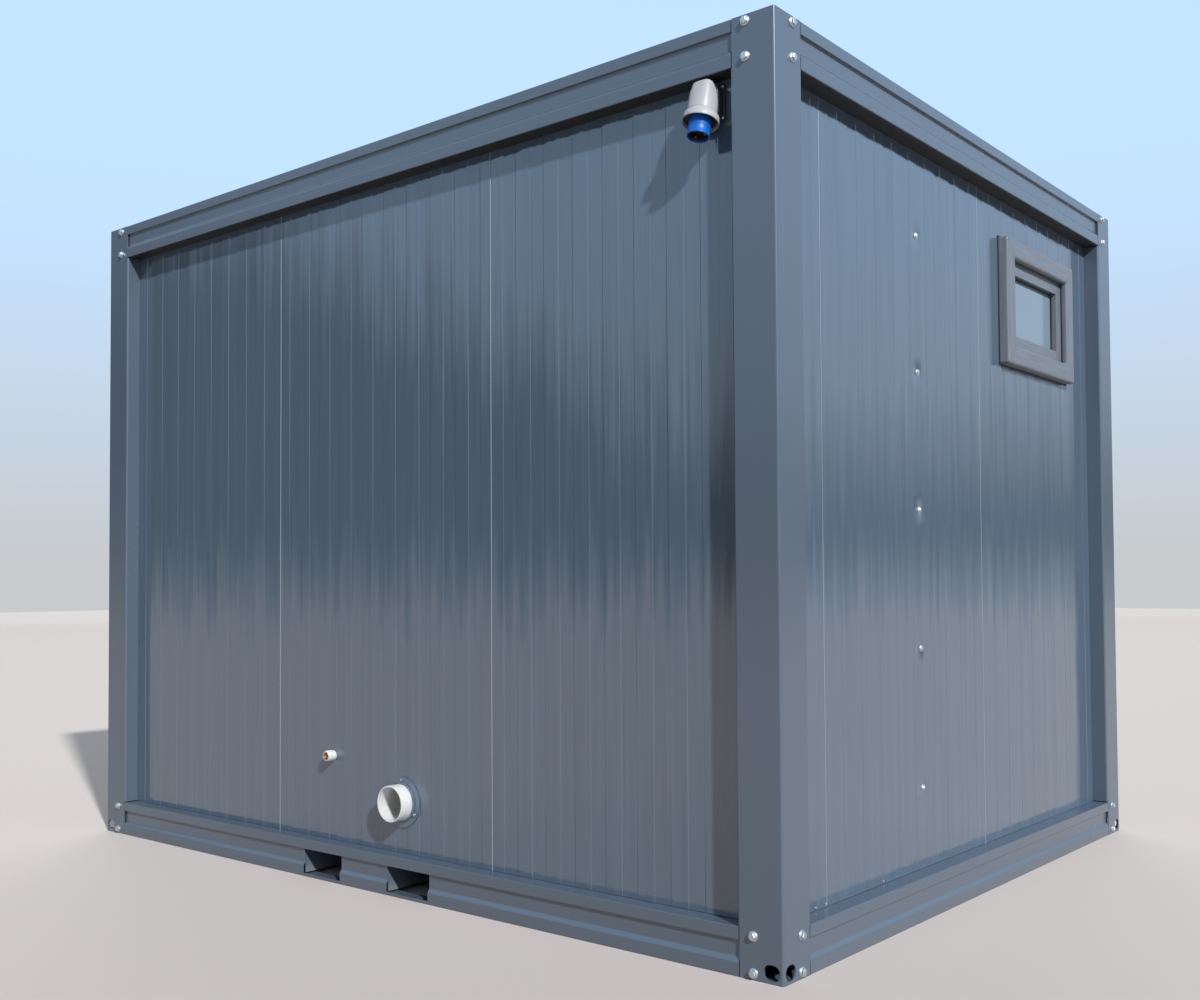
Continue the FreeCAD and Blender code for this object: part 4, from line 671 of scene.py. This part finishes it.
# %% Turned parts
def turned_mesh(name, profiles, degrees=35):
    """One mesh from (steps, closed profile) pairs swept round Z."""
    form = bmesh.new()
    for steps, profile in profiles:
        rings = []
        for step in range(steps):
            angle = 2 * math.pi * step / steps
            rings.append([form.verts.new((r * math.cos(angle) * MM, r * math.sin(angle) * MM, z * MM))
                          for r, z in profile])
        for step in range(steps):
            here, after = rings[step], rings[(step + 1) % steps]
            for index in range(len(profile) - 1):
                form.faces.new((here[index], after[index], after[index + 1], here[index + 1]))
            if profile[0][0] > 0 and profile[-1][0] > 0:
                form.faces.new((here[-1], after[-1], after[0], here[0]))
    bmesh.ops.remove_doubles(form, verts=form.verts, dist=1e-7)
    bmesh.ops.dissolve_degenerate(form, edges=form.edges, dist=1e-7)
    bmesh.ops.recalc_face_normals(form, faces=form.faces)
    return smooth_by_angle(mesh_of(name, form), degrees)


def standing(mesh, place, axis):
    """Put a turned mesh at a place, its Z along an axis."""
    turn = axis.to_track_quat("Z", "Y").to_matrix().to_4x4()
    mesh.transform(Matrix.Translation(place) @ turn)
    return mesh


def turned_piece(name, profiles, place, axis, finish, stands_for=()):
    """A turned part at a place on the container."""
    mesh = standing(turned_mesh(name, profiles), place, axis)
    finished_piece(name, mesh, finish, "container", stands_for)


print("turned parts are ready")

# %% [markdown]
# Thirty-two zinc bolts hold the frame together: a washer, a flange and a
# chamfered hexagon. Their places repeat on each wall, at both ends and on the
# two flat bands of each rail.

# %% Frame bolts
WALLS = {
    "rear": (REAR, RIGHT, HALF_WIDTH, HALF_LENGTH),
    "right": (RIGHT, FRONT, HALF_LENGTH, HALF_WIDTH),
    "front": (FRONT, LEFT, HALF_WIDTH, HALF_LENGTH),
    "left": (LEFT, REAR, HALF_LENGTH, HALF_WIDTH),
}
RAIL_BASES = (0, HEIGHT - RAIL)
BOLT_INSET = 82 * MM
BOLT_LEVELS = (17 * MM, 104 * MM)


def on_wall(wall, along, depth, height):
    """A point on a wall: along it, behind the frame's face, and up."""
    outward, run, across, _ = WALLS[wall]
    return outward * (across - depth) + run * along + UP * height


bolt_source = turned_mesh("bolt_source", [
    (24, [(0, 0), (12.5, 0), (12.5, 1.9), (11.9, 2.5), (0, 2.5)]),
    (20, [(0, 2.5), (10.8, 2.5), (10.8, 3.4), (9.6, 4.3), (0, 4.3)]),
    (6, [(0, 4.3), (9.8, 4.3), (9.8, 8.6), (8.2, 10.0), (0, 10.2)]),
])
bolt_spots = [(on_wall(wall, end, 0, base + level), outward)
              for wall, (outward, _, _, half) in WALLS.items()
              for end in (half - BOLT_INSET, BOLT_INSET - half)
              for base in RAIL_BASES for level in BOLT_LEVELS]
fixings("frame_bolts_dressed", bolt_spots, bolt_source, zinc,
        spin=math.pi, seed=3, stands_for=["frame_bolts"])

# %% [markdown]
# A column of dome screws fixes the partition through the side wall, and a few
# small rivets hold the panel feet. Both sit straight on the skin.

# %% Panel screws and rivets
screw_source = turned_mesh("screw_source", [
    (24, [(0, 0), (10, 0), (10, 0.7), (9.0, 1.8), (0, 2.2)]),
    (6, [(0, 1.8), (6.2, 1.8), (6.2, 3.8), (5.0, 4.8), (0, 5.0)]),
])
screw_spots = [(on_wall("right", SCREW_COLUMN, SKIN, SCREW_FIRST + SCREW_STEP * step), RIGHT)
               for step in range(5)]
fixings("panel_screws_dressed", screw_spots, screw_source, zinc,
        spin=math.pi, seed=5, stands_for=["panel_screws"])
rivet_source = turned_mesh("rivet_source", [
    (16, [(0, 0), (4, 0), (3.8, 0.8), (2.6, 1.6), (0, 2.0)])])
RIVETS_ALONG = (-972 * MM, -920 * MM, -605 * MM)
RIVET_HEIGHT = 127 * MM
rivet_spots = [(on_wall(wall, along * side, SKIN, RIVET_HEIGHT), WALLS[wall][0])
               for wall, side in (("right", 1), ("left", -1)) for along in RIVETS_ALONG]
fixings("panel_rivets", rivet_spots, rivet_source, zinc)

# %% [markdown]
# Where two panels meet, the rolled edge of the steel catches the light as a thin bright line. A pale
# strip per joint, a hair proud of the skin, is that highlight painted on. The joints lie at the ends of
# the panels' own boxes.

# %% Painted highlights on the panel joints
def block_piece(name, blocks, round_off, finish, segments=3):
    """Rounded blocks, each between two corners, as one piece on the container."""
    form = bmesh.new()
    for low, high in blocks:
        size = Vector(high) - Vector(low)
        middle = (Vector(high) + Vector(low)) / 2
        for vert in bmesh.ops.create_cube(form, size=1)["verts"]:
            vert.co = middle + Vector(part * width for part, width in zip(vert.co, size))
    bmesh.ops.bevel(form, geom=form.edges[:], offset=round_off, segments=segments, profile=0.5,
                    affect="EDGES")
    mesh = smooth_by_angle(mesh_of(name, form))
    finished_piece(name, mesh, finish, "container")


def wall_block(wall, start, end, near, far, low, high):
    """Corners of a block on a wall: along, behind the frame's face, and up."""
    first = on_wall(wall, start, near, low)
    second = on_wall(wall, end, far, high)
    pairs = [sorted(pair) for pair in zip(first, second)]
    return [least for least, _ in pairs], [most for _, most in pairs]


STRIP_DEPTH = 0.5 * MM
joint_places = []
for name in ("rear_panel_left", "rear_panel_middle"):
    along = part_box(name)[1].x
    joint_places.append(("rear", along - 1.1 * MM, along + 1.1 * MM))
for name in ("side_panel_corner", "side_panel_middle"):
    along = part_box(name)[1].y
    joint_places.append(("right", along + 1.6 * MM, along + 2.4 * MM))
strips = [wall_block(wall, start, end, SKIN - STRIP_DEPTH, SKIN + STRIP_DEPTH, RAIL, HEIGHT - RAIL)
          for wall, start, end in joint_places]
# Painted highlight: the pale strips stand in for the light that the panels' rolled edges catch.
block_piece("panel_joints", strips, 0.3 * MM, joint_highlight_paint, 1)
print("panel joints:", len(strips))

# %% [markdown]
# Black rubber strips close the gap between the panels' heads and the roof rails and line the underside
# of each rail. They are painted shade, which makes that soffit as black as its deep shadow. Foam plugs
# of the same black shut the rails' grooves where they run into the posts, so that no light comes
# through.

# %% Painted soffit shade and groove plugs
POST_FACE = 126 * MM
RAIL_END = 124 * MM
PLUG = (0.4 * MM, 3.4 * MM)
PLUG_DEPTH = (4.4 * MM, 26 * MM)
PLUG_LEVELS = (24 * MM, 96 * MM)
# Painted shade: a black strip under each roof rail stands in for the soffit's deep shadow.
soffit_shade_strips = []
plugs = []
top = HEIGHT - RAIL
for wall, (_, _, _, half) in WALLS.items():
    reach = half - POST_FACE - 1 * MM
    soffit_shade_strips.append(wall_block(
        wall, -reach, reach, 5 * MM, SKIN - 0.2 * MM, top - 1.4 * MM, top - 0.1 * MM))
    for side in (1, -1):
        ends = [side * (half - RAIL_END + step) for step in PLUG]
        for base in RAIL_BASES:
            plugs.append(wall_block(wall, *ends, *PLUG_DEPTH, *(base + level for level in PLUG_LEVELS)))
block_piece("head_seals", soffit_shade_strips, 0.3 * MM, rubber, 1)
block_piece("groove_plugs", plugs, 0.6 * MM, rubber, 1)
print("head seals:", len(soffit_shade_strips), "groove plugs:", len(plugs))

# %% [markdown]
# The window stands proud of the wall. Seals are what make it read as a window:
# a dark joint where it meets the skin, a black gasket round the pane and a
# bead that holds the pane from inside. All are rectangular rings.

# %% Window seals
CORNERS = [(1, 1), (-1, 1), (-1, -1), (1, -1)]


def ring_piece(name, outer, inner, front, back, round_off, finish, body):
    """A rectangular ring on the window wall; halves are (along, up), depths run inward."""
    form = bmesh.new()
    loops = []
    for half, depth in ((outer, front), (inner, front), (inner, back), (outer, back)):
        loops.append([form.verts.new((HALF_LENGTH - depth, WINDOW_MIDDLE.y + half[0] * along,
                                      WINDOW_MIDDLE.z + half[1] * up)) for along, up in CORNERS])
    for index in range(4):
        first, second = loops[index], loops[(index + 1) % 4]
        for corner in range(4):
            after = (corner + 1) % 4
            form.faces.new((first[corner], first[after], second[after], second[corner]))
    bmesh.ops.recalc_face_normals(form, faces=form.faces)
    edges = [edge for edge in form.edges if edge.calc_face_angle(0) > 1]
    bmesh.ops.bevel(form, geom=edges, offset=round_off, segments=2, profile=0.5, affect="EDGES")
    mesh = smooth_by_angle(mesh_of(name, form))
    finished_piece(name, mesh, finish, body)


def inset(half, amount):
    return (half[0] - amount * MM, half[1] - amount * MM)


SASH_HALF = inset(WINDOW_HALF, 53)
PANE_HALF = inset(SASH_HALF, 54)
ring_piece("window_joint", inset(WINDOW_HALF, -4), inset(WINDOW_HALF, 2), SKIN - 2 * MM, SKIN + 1 * MM,
           0.8 * MM, rubber, "container")
ring_piece("pane_gasket", inset(PANE_HALF, -1), inset(PANE_HALF, 5), 60.5 * MM, 65.4 * MM,
           1.2 * MM, rubber, "sash")
ring_piece("pane_bead", inset(PANE_HALF, -1), inset(PANE_HALF, 12), 89.6 * MM, 97.4 * MM,
           2 * MM, foil, "sash")
print("window joint, pane gasket and pane bead")

# %% [markdown]
# The power inlet hangs from the wall with its mouth down and a little outward: a light grey tapered
# housing with a wide collar, a black ring inside, a blue shroud and a dark navy core that also lines the
# inside of the shroud, painted shade for the depth of the mouth. Everything is turned about the tilted
# axis.

# %% Power inlet
INLET_TILT = math.radians(15)
INLET_AXIS = Vector((0, -math.sin(INLET_TILT), -math.cos(INLET_TILT)))
INLET_PLACE = Vector((1284 * MM, -HALF_WIDTH - 3 * MM, 2093 * MM))
TURN = 48


def squared(mesh, start, end, power):
    """Push round sections towards a rounded square, most at the start height."""
    for vert in mesh.vertices:
        height = vert.co.z / MM
        share = min(1.0, max(0.0, (height - end) / (start - end)))
        radius = math.hypot(vert.co.x, vert.co.y)
        if share and radius:
            bend = 2 + (power - 2) * share
            side = (abs(vert.co.x / radius) ** bend + abs(vert.co.y / radius) ** bend) ** (-1 / bend)
            vert.co.x *= side
            vert.co.y *= side
    mesh.update()
    return mesh


HOUSING = [
    (0, -94.5), (23, -94.5), (26, -93.6), (27.6, -91.4), (28.2, -88), (33, -62), (37.4, -19),
    (37.7, -16.6), (37.1, -16), (37.1, -15), (38.6, -14.2), (39.8, -11), (42, -9.4), (44.6, -7.6),
    (46, -5), (47.5, 8.6), (47.3, 10.6), (46.4, 11.6), (45, 11.4), (44.2, 9.5), (42.2, -1), (0, -1)]
SEAL = [(29.2, -0.9), (42, -0.9), (42.6, 3), (38, 5), (31.5, 5), (29.2, 3)]
SHROUD = [
    (0, 2.2), (25.2, 2.2), (25.2, 48.6), (26, 50), (27.6, 50), (28.75, 48.6), (28.75, 46), (28.2, 45),
    (28.2, 26), (28.75, 25), (28.75, -0.8), (0, -0.8)]
CORE = [
    (0, 2.3), (25.1, 2.3), (25.1, 46), (24.7, 46.6), (24.3, 46), (24.3, 26), (23, 25), (0, 25)]
housing = squared(turned_mesh("inlet_housing_dressed", [(TURN, HOUSING)], 40), -86, -14, 4.0)
finished_piece("inlet_housing_dressed", standing(housing, INLET_PLACE, INLET_AXIS), inlet_grey,
               "container", ["inlet_housing"])
# The inlet core's dark navy is painted shade inside the blue shroud.
for name, profile, finish, slot, stands_for in (
        ("inlet_seal", SEAL, rubber, "inlet_grey", []),
        ("inlet_shroud_dressed", SHROUD, inlet_blue, "inlet_blue", ["inlet_shroud"]),
        ("inlet_core", CORE, core_shade_and_smoked_tint, "inlet_blue", [])):
    turned_piece(name, [(TURN, profile)], INLET_PLACE, INLET_AXIS, finish, stands_for)
print("power inlet housing, seal, shroud and core")

# %% [markdown]
# Three brass pins stand in the shroud, one per wire, set by the same tree as the bolts. Behind the
# housing a box and its foot plate carry the inlet on the wall, each a rounded block held by small
# screws. Their dark grey is painted shade, darker than their own grey, for the shade behind the housing.

# %% Power inlet pins and wall box
PIN_CIRCLE = 16 * MM
PIN_BASE = 25 * MM
WALL_FACE = -HALF_WIDTH + SKIN
FOOT_DEPTH = 6
pin_source = turned_mesh("pin_source", [
    (16, [(0, 0), (3, 0), (3, 15), (2.4, 17.4), (1, 18.4), (0, 18.5)])])
pin_turn = INLET_AXIS.to_track_quat("Z", "Y").to_matrix()
pin_spots = []
for step in range(3):
    angle = 2 * math.pi * step / 3
    offset = Vector((math.sin(angle) * PIN_CIRCLE, math.cos(angle) * PIN_CIRCLE, PIN_BASE))
    pin_spots.append((INLET_PLACE + pin_turn @ offset, INLET_AXIS))
fixings("inlet_pins", pin_spots, pin_source, brass)


def by_inlet(side, depth, up):
    """A point beside and above the inlet's place and out from the wall skin, in millimetres."""
    return Vector((INLET_PLACE.x + side * MM, WALL_FACE - depth * MM, INLET_PLACE.z + up * MM))


box = (by_inlet(-34, 33, 13), by_inlet(34, 0, 87))
foot = (by_inlet(-38, FOOT_DEPTH, 3), by_inlet(38, 0, 95))
# Painted shade: the box and foot take a darker grey than their own.
block_piece("inlet_wall_box", [box], 5 * MM, inlet_base_painted_shade)
block_piece("inlet_foot", [foot], 2 * MM, inlet_base_painted_shade)
foot_screws = [(by_inlet(side, FOOT_DEPTH, up), REAR) for side in (-31.5, 31.5) for up in (9.5, 88.5)]
fixings("inlet_foot_screws", foot_screws, rivet_source, zinc)

# %% [markdown]
# The water connection is a white collar with a brass thread in its end, and
# the waste pipe is a plain white stub in a flange of the wall's colour. The
# thread is cut as a row of ridges in the profile, which is enough at this size.

# %% Water and waste connections
WATER_PLACE = on_wall("rear", -202 * MM, SKIN, 391 * MM)
WASTE_PLACE = on_wall("rear", 125 * MM, SKIN, 276 * MM)
FLANGE_CIRCLE = 67 * MM
FLANGE_FACE = -6 * MM
COLLAR = [
    (0, 0), (15.6, 0), (15.6, 2.4), (14.4, 3.6), (14.4, 6), (16.6, 7.4), (17.5, 9.4), (17.5, 27),
    (16.6, 30.6), (14.8, 33), (12.5, 33), (12.5, 14), (0, 14)]
RIDGES = [(9.3 if step % 2 else 10.1, 32.6 - step * 0.9) for step in range(20)]
THREAD = [(12.4, 14.1), (12.4, 32.4), (11.8, 33), (10.4, 33)] + RIDGES + [(10.1, 14.1)]
SEALANT = [(55.15, 3.9), (60.6, 3.9), (60.4, 7.4), (59.3, 8.7), (57, 9.4), (55.15, 9.8)]
turned_piece("water_inlet_dressed", [(40, COLLAR)], WATER_PLACE, REAR, pipe_white,
             ["water_inlet"])
turned_piece("water_thread_dressed", [(32, THREAD)], WATER_PLACE, REAR, brass, ["water_thread"])
turned_piece("waste_sealant", [(48, SEALANT)], WASTE_PLACE, REAR, panel_paint)
flange_screws = []
for step in range(3):
    angle = math.radians(90 + 120 * step)
    spot = Vector((math.cos(angle) * FLANGE_CIRCLE, FLANGE_FACE, math.sin(angle) * FLANGE_CIRCLE))
    flange_screws.append((WASTE_PLACE + spot, REAR))
fixings("waste_flange_screws", flange_screws, rivet_source, pipe_white)

# %% [markdown]
# The entrance door carries a rose round each lever and, below it, one round
# the key cylinder. They are turned rings, so that the lever's neck passes
# through, and the same tree sets them on both faces of the leaf.

# %% Door fittings
LEVER_ALONG, LEVER_HEIGHT = -430 * MM, 1050 * MM
KEY_DROP = 72 * MM
leaf_low, leaf_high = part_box("door_leaf")
rose_source = turned_mesh("rose_source", [
    (36, [(10.4, 0), (26, 0), (26, 4.5), (24.6, 6.6), (22.4, 7), (13, 7), (11.2, 6.4), (10.4, 5)])])
key_source = turned_mesh("key_source", [
    (36, [(9.2, 0), (26, 0), (26, 4.5), (24.6, 6.6), (22.4, 7), (11, 7), (9.2, 6)]),
    (24, [(0, 0.5), (8.8, 0.5), (8.8, 8.4), (8.0, 9.2), (1.6, 9.2), (1.6, 4), (0, 4)])])
for name, source, drop in (("lever_roses", rose_source, 0), ("key_roses", key_source, KEY_DROP)):
    spots = [(Vector((LEVER_ALONG, face, LEVER_HEIGHT - drop)), way)
             for face, way in ((leaf_high.y, FRONT), (leaf_low.y, REAR))]
    fixings(name, spots, source, chrome, "door")

# %% [markdown]
# Small fittings make the washroom readable: a drain with its plug in the basin
# and an aerator under the spout, both turned and set on their nodes' own boxes.

# %% Basin fittings
DRAIN_OUT, DRAIN_DROP = 235 * MM, 115 * MM
SPOUT_BACK, SPOUT_RISE = 12 * MM, 51 * MM
basin_low, basin_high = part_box("washbasin")
basin_middle = (basin_low.x + basin_high.x) / 2
drain_place = Vector((basin_middle, basin_low.y + DRAIN_OUT, basin_high.z - DRAIN_DROP))
turned_piece("basin_drain", [
    (40, [(14, 0), (22, 0), (22, 1), (20.4, 2.2), (15, 2.2), (14, 1)]),
    (32, [(0, 0.2), (12.6, 0.2), (12.6, 2.4), (9.5, 4.2), (4, 5), (0, 5.1)])],
    drain_place, UP, chrome)
spout_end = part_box("tap_body")[1].y
spout_place = Vector((basin_middle, spout_end - SPOUT_BACK, basin_high.z + SPOUT_RISE))
turned_piece("tap_aerator", [
    (24, [(0, 0), (9, 0), (9, 9), (9.6, 9.6), (9.6, 13), (8.8, 13.8), (7.2, 13.8), (7.2, 12), (0, 12)])],
    spout_place, -UP, chrome)
print("basin drain and tap aerator")

# %% [markdown]
# The cistern has a lid edge on its three open sides, the board a door with a
# smoked window, and the lamp two end caps. All are rounded blocks.

# %% Cistern, board and lamp
LID = 2.5 * MM
tank_low, tank_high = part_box("cistern")
lid_levels = (tank_high.z - 36 * MM, tank_high.z - 6 * MM)
near_x, wall_x = tank_low.x - LID, tank_high.x - LID
lid_plan = [
    (near_x, tank_low.y - LID, tank_low.x + LID, tank_high.y + LID),
    (near_x, tank_low.y - LID, wall_x, tank_low.y + LID),
    (near_x, tank_high.y - LID, wall_x, tank_high.y + LID)]
lid_blocks = [((x0, y0, lid_levels[0]), (x1, y1, lid_levels[1])) for x0, y0, x1, y1 in lid_plan]
block_piece("cistern_lid_edge", lid_blocks, 1.5 * MM, seat_white)

EDGE = 12 * MM
board_low, board_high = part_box("distribution_board")
front = board_high.y
board_door = ((board_low.x + EDGE, front - 1 * MM, board_low.z + EDGE),
              (board_high.x - EDGE, front + 3 * MM, board_high.z - EDGE))
board_window = ((board_low.x + 3 * EDGE, front + 2 * MM, board_low.z + 10 * EDGE),
                (board_high.x - 3 * EDGE, front + 5 * MM, board_high.z - 8 * EDGE))
block_piece("board_door", [board_door], 1.4 * MM, pipe_white)
block_piece("board_window", [board_window], 1.2 * MM, core_shade_and_smoked_tint)

PROUD, CAP = 2 * MM, 16 * MM
lamp_low, lamp_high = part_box("ceiling_light")
caps = [((start - PROUD, lamp_low.y - PROUD, lamp_low.z - PROUD),
         (start + CAP, lamp_high.y + PROUD, lamp_high.z))
        for start in (lamp_low.x, lamp_high.x - CAP + PROUD)]
block_piece("lamp_end_caps", caps, 6 * MM, lining)
print("cistern lid edge, board door and window, lamp caps")

# %% [markdown]
# The stage is a pale floor and a world that gives an even soft fill. What the
# camera or a mirror sees of the world is a pale sweep.

# %% Floor and world
FLOOR_HALF = 40
FLOOR_LIT = linear(146, 143, 141)
FLOOR_SEEN = linear(207, 198, 192)
FILL_COLOUR = (0.2, 0.225, 0.26, 1)
PALE_BACKDROP = (0.58, 0.6, 0.62, 1)
PALE_SKY = (0.56, 0.8, 1.1, 1)


def seen_directly(tree):
    """One for what the camera, a mirror or a pane shows, else none."""
    path = add(tree, "ShaderNodeLightPath")
    seen = maths(tree, "MAXIMUM", path.outputs["Is Camera Ray"], path.outputs["Is Glossy Ray"])
    return maths(tree, "MAXIMUM", seen, path.outputs["Is Transmission Ray"])


def make_floor():
    form = bmesh.new()
    bmesh.ops.create_grid(form, x_segments=1, y_segments=1, size=FLOOR_HALF)
    mesh = mesh_of("floor", form)
    floor = linked("floor", mesh)
    material, tree, shader = new_finish("Pale floor")
    fill(tree, shader, {
        "Base Color": mixed(tree, seen_directly(tree), FLOOR_LIT, FLOOR_SEEN), "Roughness": 0.8})
    mesh.materials.append(material)


def make_world():
    """An even soft fill; what is seen directly or mirrored is a pale sweep."""
    world = bpy.data.worlds.new("Studio")
    bpy.context.scene.world = world
    world.use_nodes = True
    tree = world.node_tree
    rise = axes(tree, add(tree, "ShaderNodeTexCoord").outputs["Generated"])["Z"]
    sweep = mixed(tree, ramp(tree, rise, 0.02, 0.3), PALE_BACKDROP, PALE_SKY)
    fill(tree, tree.nodes["Background"], {"Color": mixed(tree, seen_directly(tree), FILL_COLOUR, sweep)})


make_floor()
make_world()
print("floor and world")

# %% [markdown]
# In a studio, dark cloth hangs out of view, so that gloss has an edge to show.
# Here that is a ring of curtain, seen only in reflections, that takes no light
# from the object. It thins out at its foot and head, and its head sinks towards
# the left.

# %% Curtain
CURTAIN_SIDES = 96
CURTAIN_RADIUS = 30
CURTAIN_HEIGHT = 12
CURTAIN_COLOUR = (0.1, 0.13, 0.15, 1)
SINK_FROM = -15.0
SINK_SLOPE = -0.6


def make_curtain():
    form = bmesh.new()
    rims = [bmesh.ops.create_circle(form, segments=CURTAIN_SIDES, radius=CURTAIN_RADIUS,
                                    matrix=Matrix.Translation((0, 0, level)))["verts"]
            for level in (0, CURTAIN_HEIGHT)]
    for index in range(CURTAIN_SIDES):
        after = (index + 1) % CURTAIN_SIDES
        form.faces.new((rims[0][index], rims[0][after], rims[1][after], rims[1][index]))
    mesh = mesh_of("curtain", form)
    curtain = linked("curtain", mesh)
    curtain.visible_camera = False
    curtain.visible_diffuse = False
    curtain.visible_shadow = False
    material, tree, shader = new_finish("Dark curtain")
    parts = axes(tree, object_place(tree))
    leftward = maths(tree, "MAXIMUM", maths(tree, "SUBTRACT", SINK_FROM, parts["X"]), 0.0)
    rise = maths(tree, "MULTIPLY_ADD", leftward, SINK_SLOPE, parts["Z"])
    foot = ramp(tree, parts["Z"], 0.0, 2.0)
    head = ramp(tree, rise, 2.6, 6.0, 1.0, 0.0)
    fill(tree, shader, {
        "Base Color": (0, 0, 0, 1), "Specular IOR Level": 0.0,
        "Alpha": maths(tree, "MULTIPLY", foot, head),
        "Emission Color": CURTAIN_COLOUR, "Emission Strength": 1.0})
    mesh.materials.append(material)


make_curtain()
print("curtain")

# %% [markdown]
# One far lamp shines from the upper right and throws the frame's sharp shadows
# on the walls, and a weak broad one lights the door's side.

# %% Lamps
KEY_WAY = Vector((0.75, -0.36, 0.55)).normalized()
DOOR_WAY = Vector((-0.6, 0.68, 0.42)).normalized()


def far_lamp(name, way, strength, degrees):
    """A far lamp, so that its light is even over the floor and the walls."""
    light = bpy.data.lights.new(name, "SUN")
    light.energy = strength
    light.angle = math.radians(degrees)
    item = linked(name, light)
    item.location = way * 10
    item.rotation_mode = "QUATERNION"
    item.rotation_quaternion = (-way).to_track_quat("-Z", "Y")


far_lamp("key_lamp", KEY_WAY, 4.1, 2)
far_lamp("door_side_lamp", DOOR_WAY, 1.1, 60)
print("key lamp and door side lamp")

# %% [markdown]
# The camera's place, turn and lens were found from the frame's corners in the
# photograph. The turn is written as azimuth, pitch and a slight roll, and the
# shift moves the middle of the view to the photograph's optical centre.

# %% Camera
CAMERA_PLACE = Vector((3.0648, -3.8281, 0.9460))
AZIMUTH, PITCH, ROLL = (math.radians(angle) for angle in (-40.534, 1.752, -0.283))
heading = Vector((math.sin(AZIMUTH), math.cos(AZIMUTH), 0))
forward = heading * math.cos(PITCH) + UP * math.sin(PITCH)
level = forward.cross(UP).normalized()
upward = level.cross(forward)
across = level * math.cos(ROLL) + upward * math.sin(ROLL)
above = across.cross(forward)
camera = linked("camera", bpy.data.cameras.new("camera"))
turn = Matrix((across, above, -forward)).transposed().to_4x4()
camera.matrix_world = Matrix.Translation(CAMERA_PLACE) @ turn
camera.data.sensor_width = 36
camera.data.lens = 38.333
camera.data.shift_x = 0.02884
camera.data.shift_y = 0.03580
bpy.context.scene.camera = camera
bpy.context.scene.view_settings.view_transform = "Standard"
print("camera at", tuple(round(part, 3) for part in camera.location))
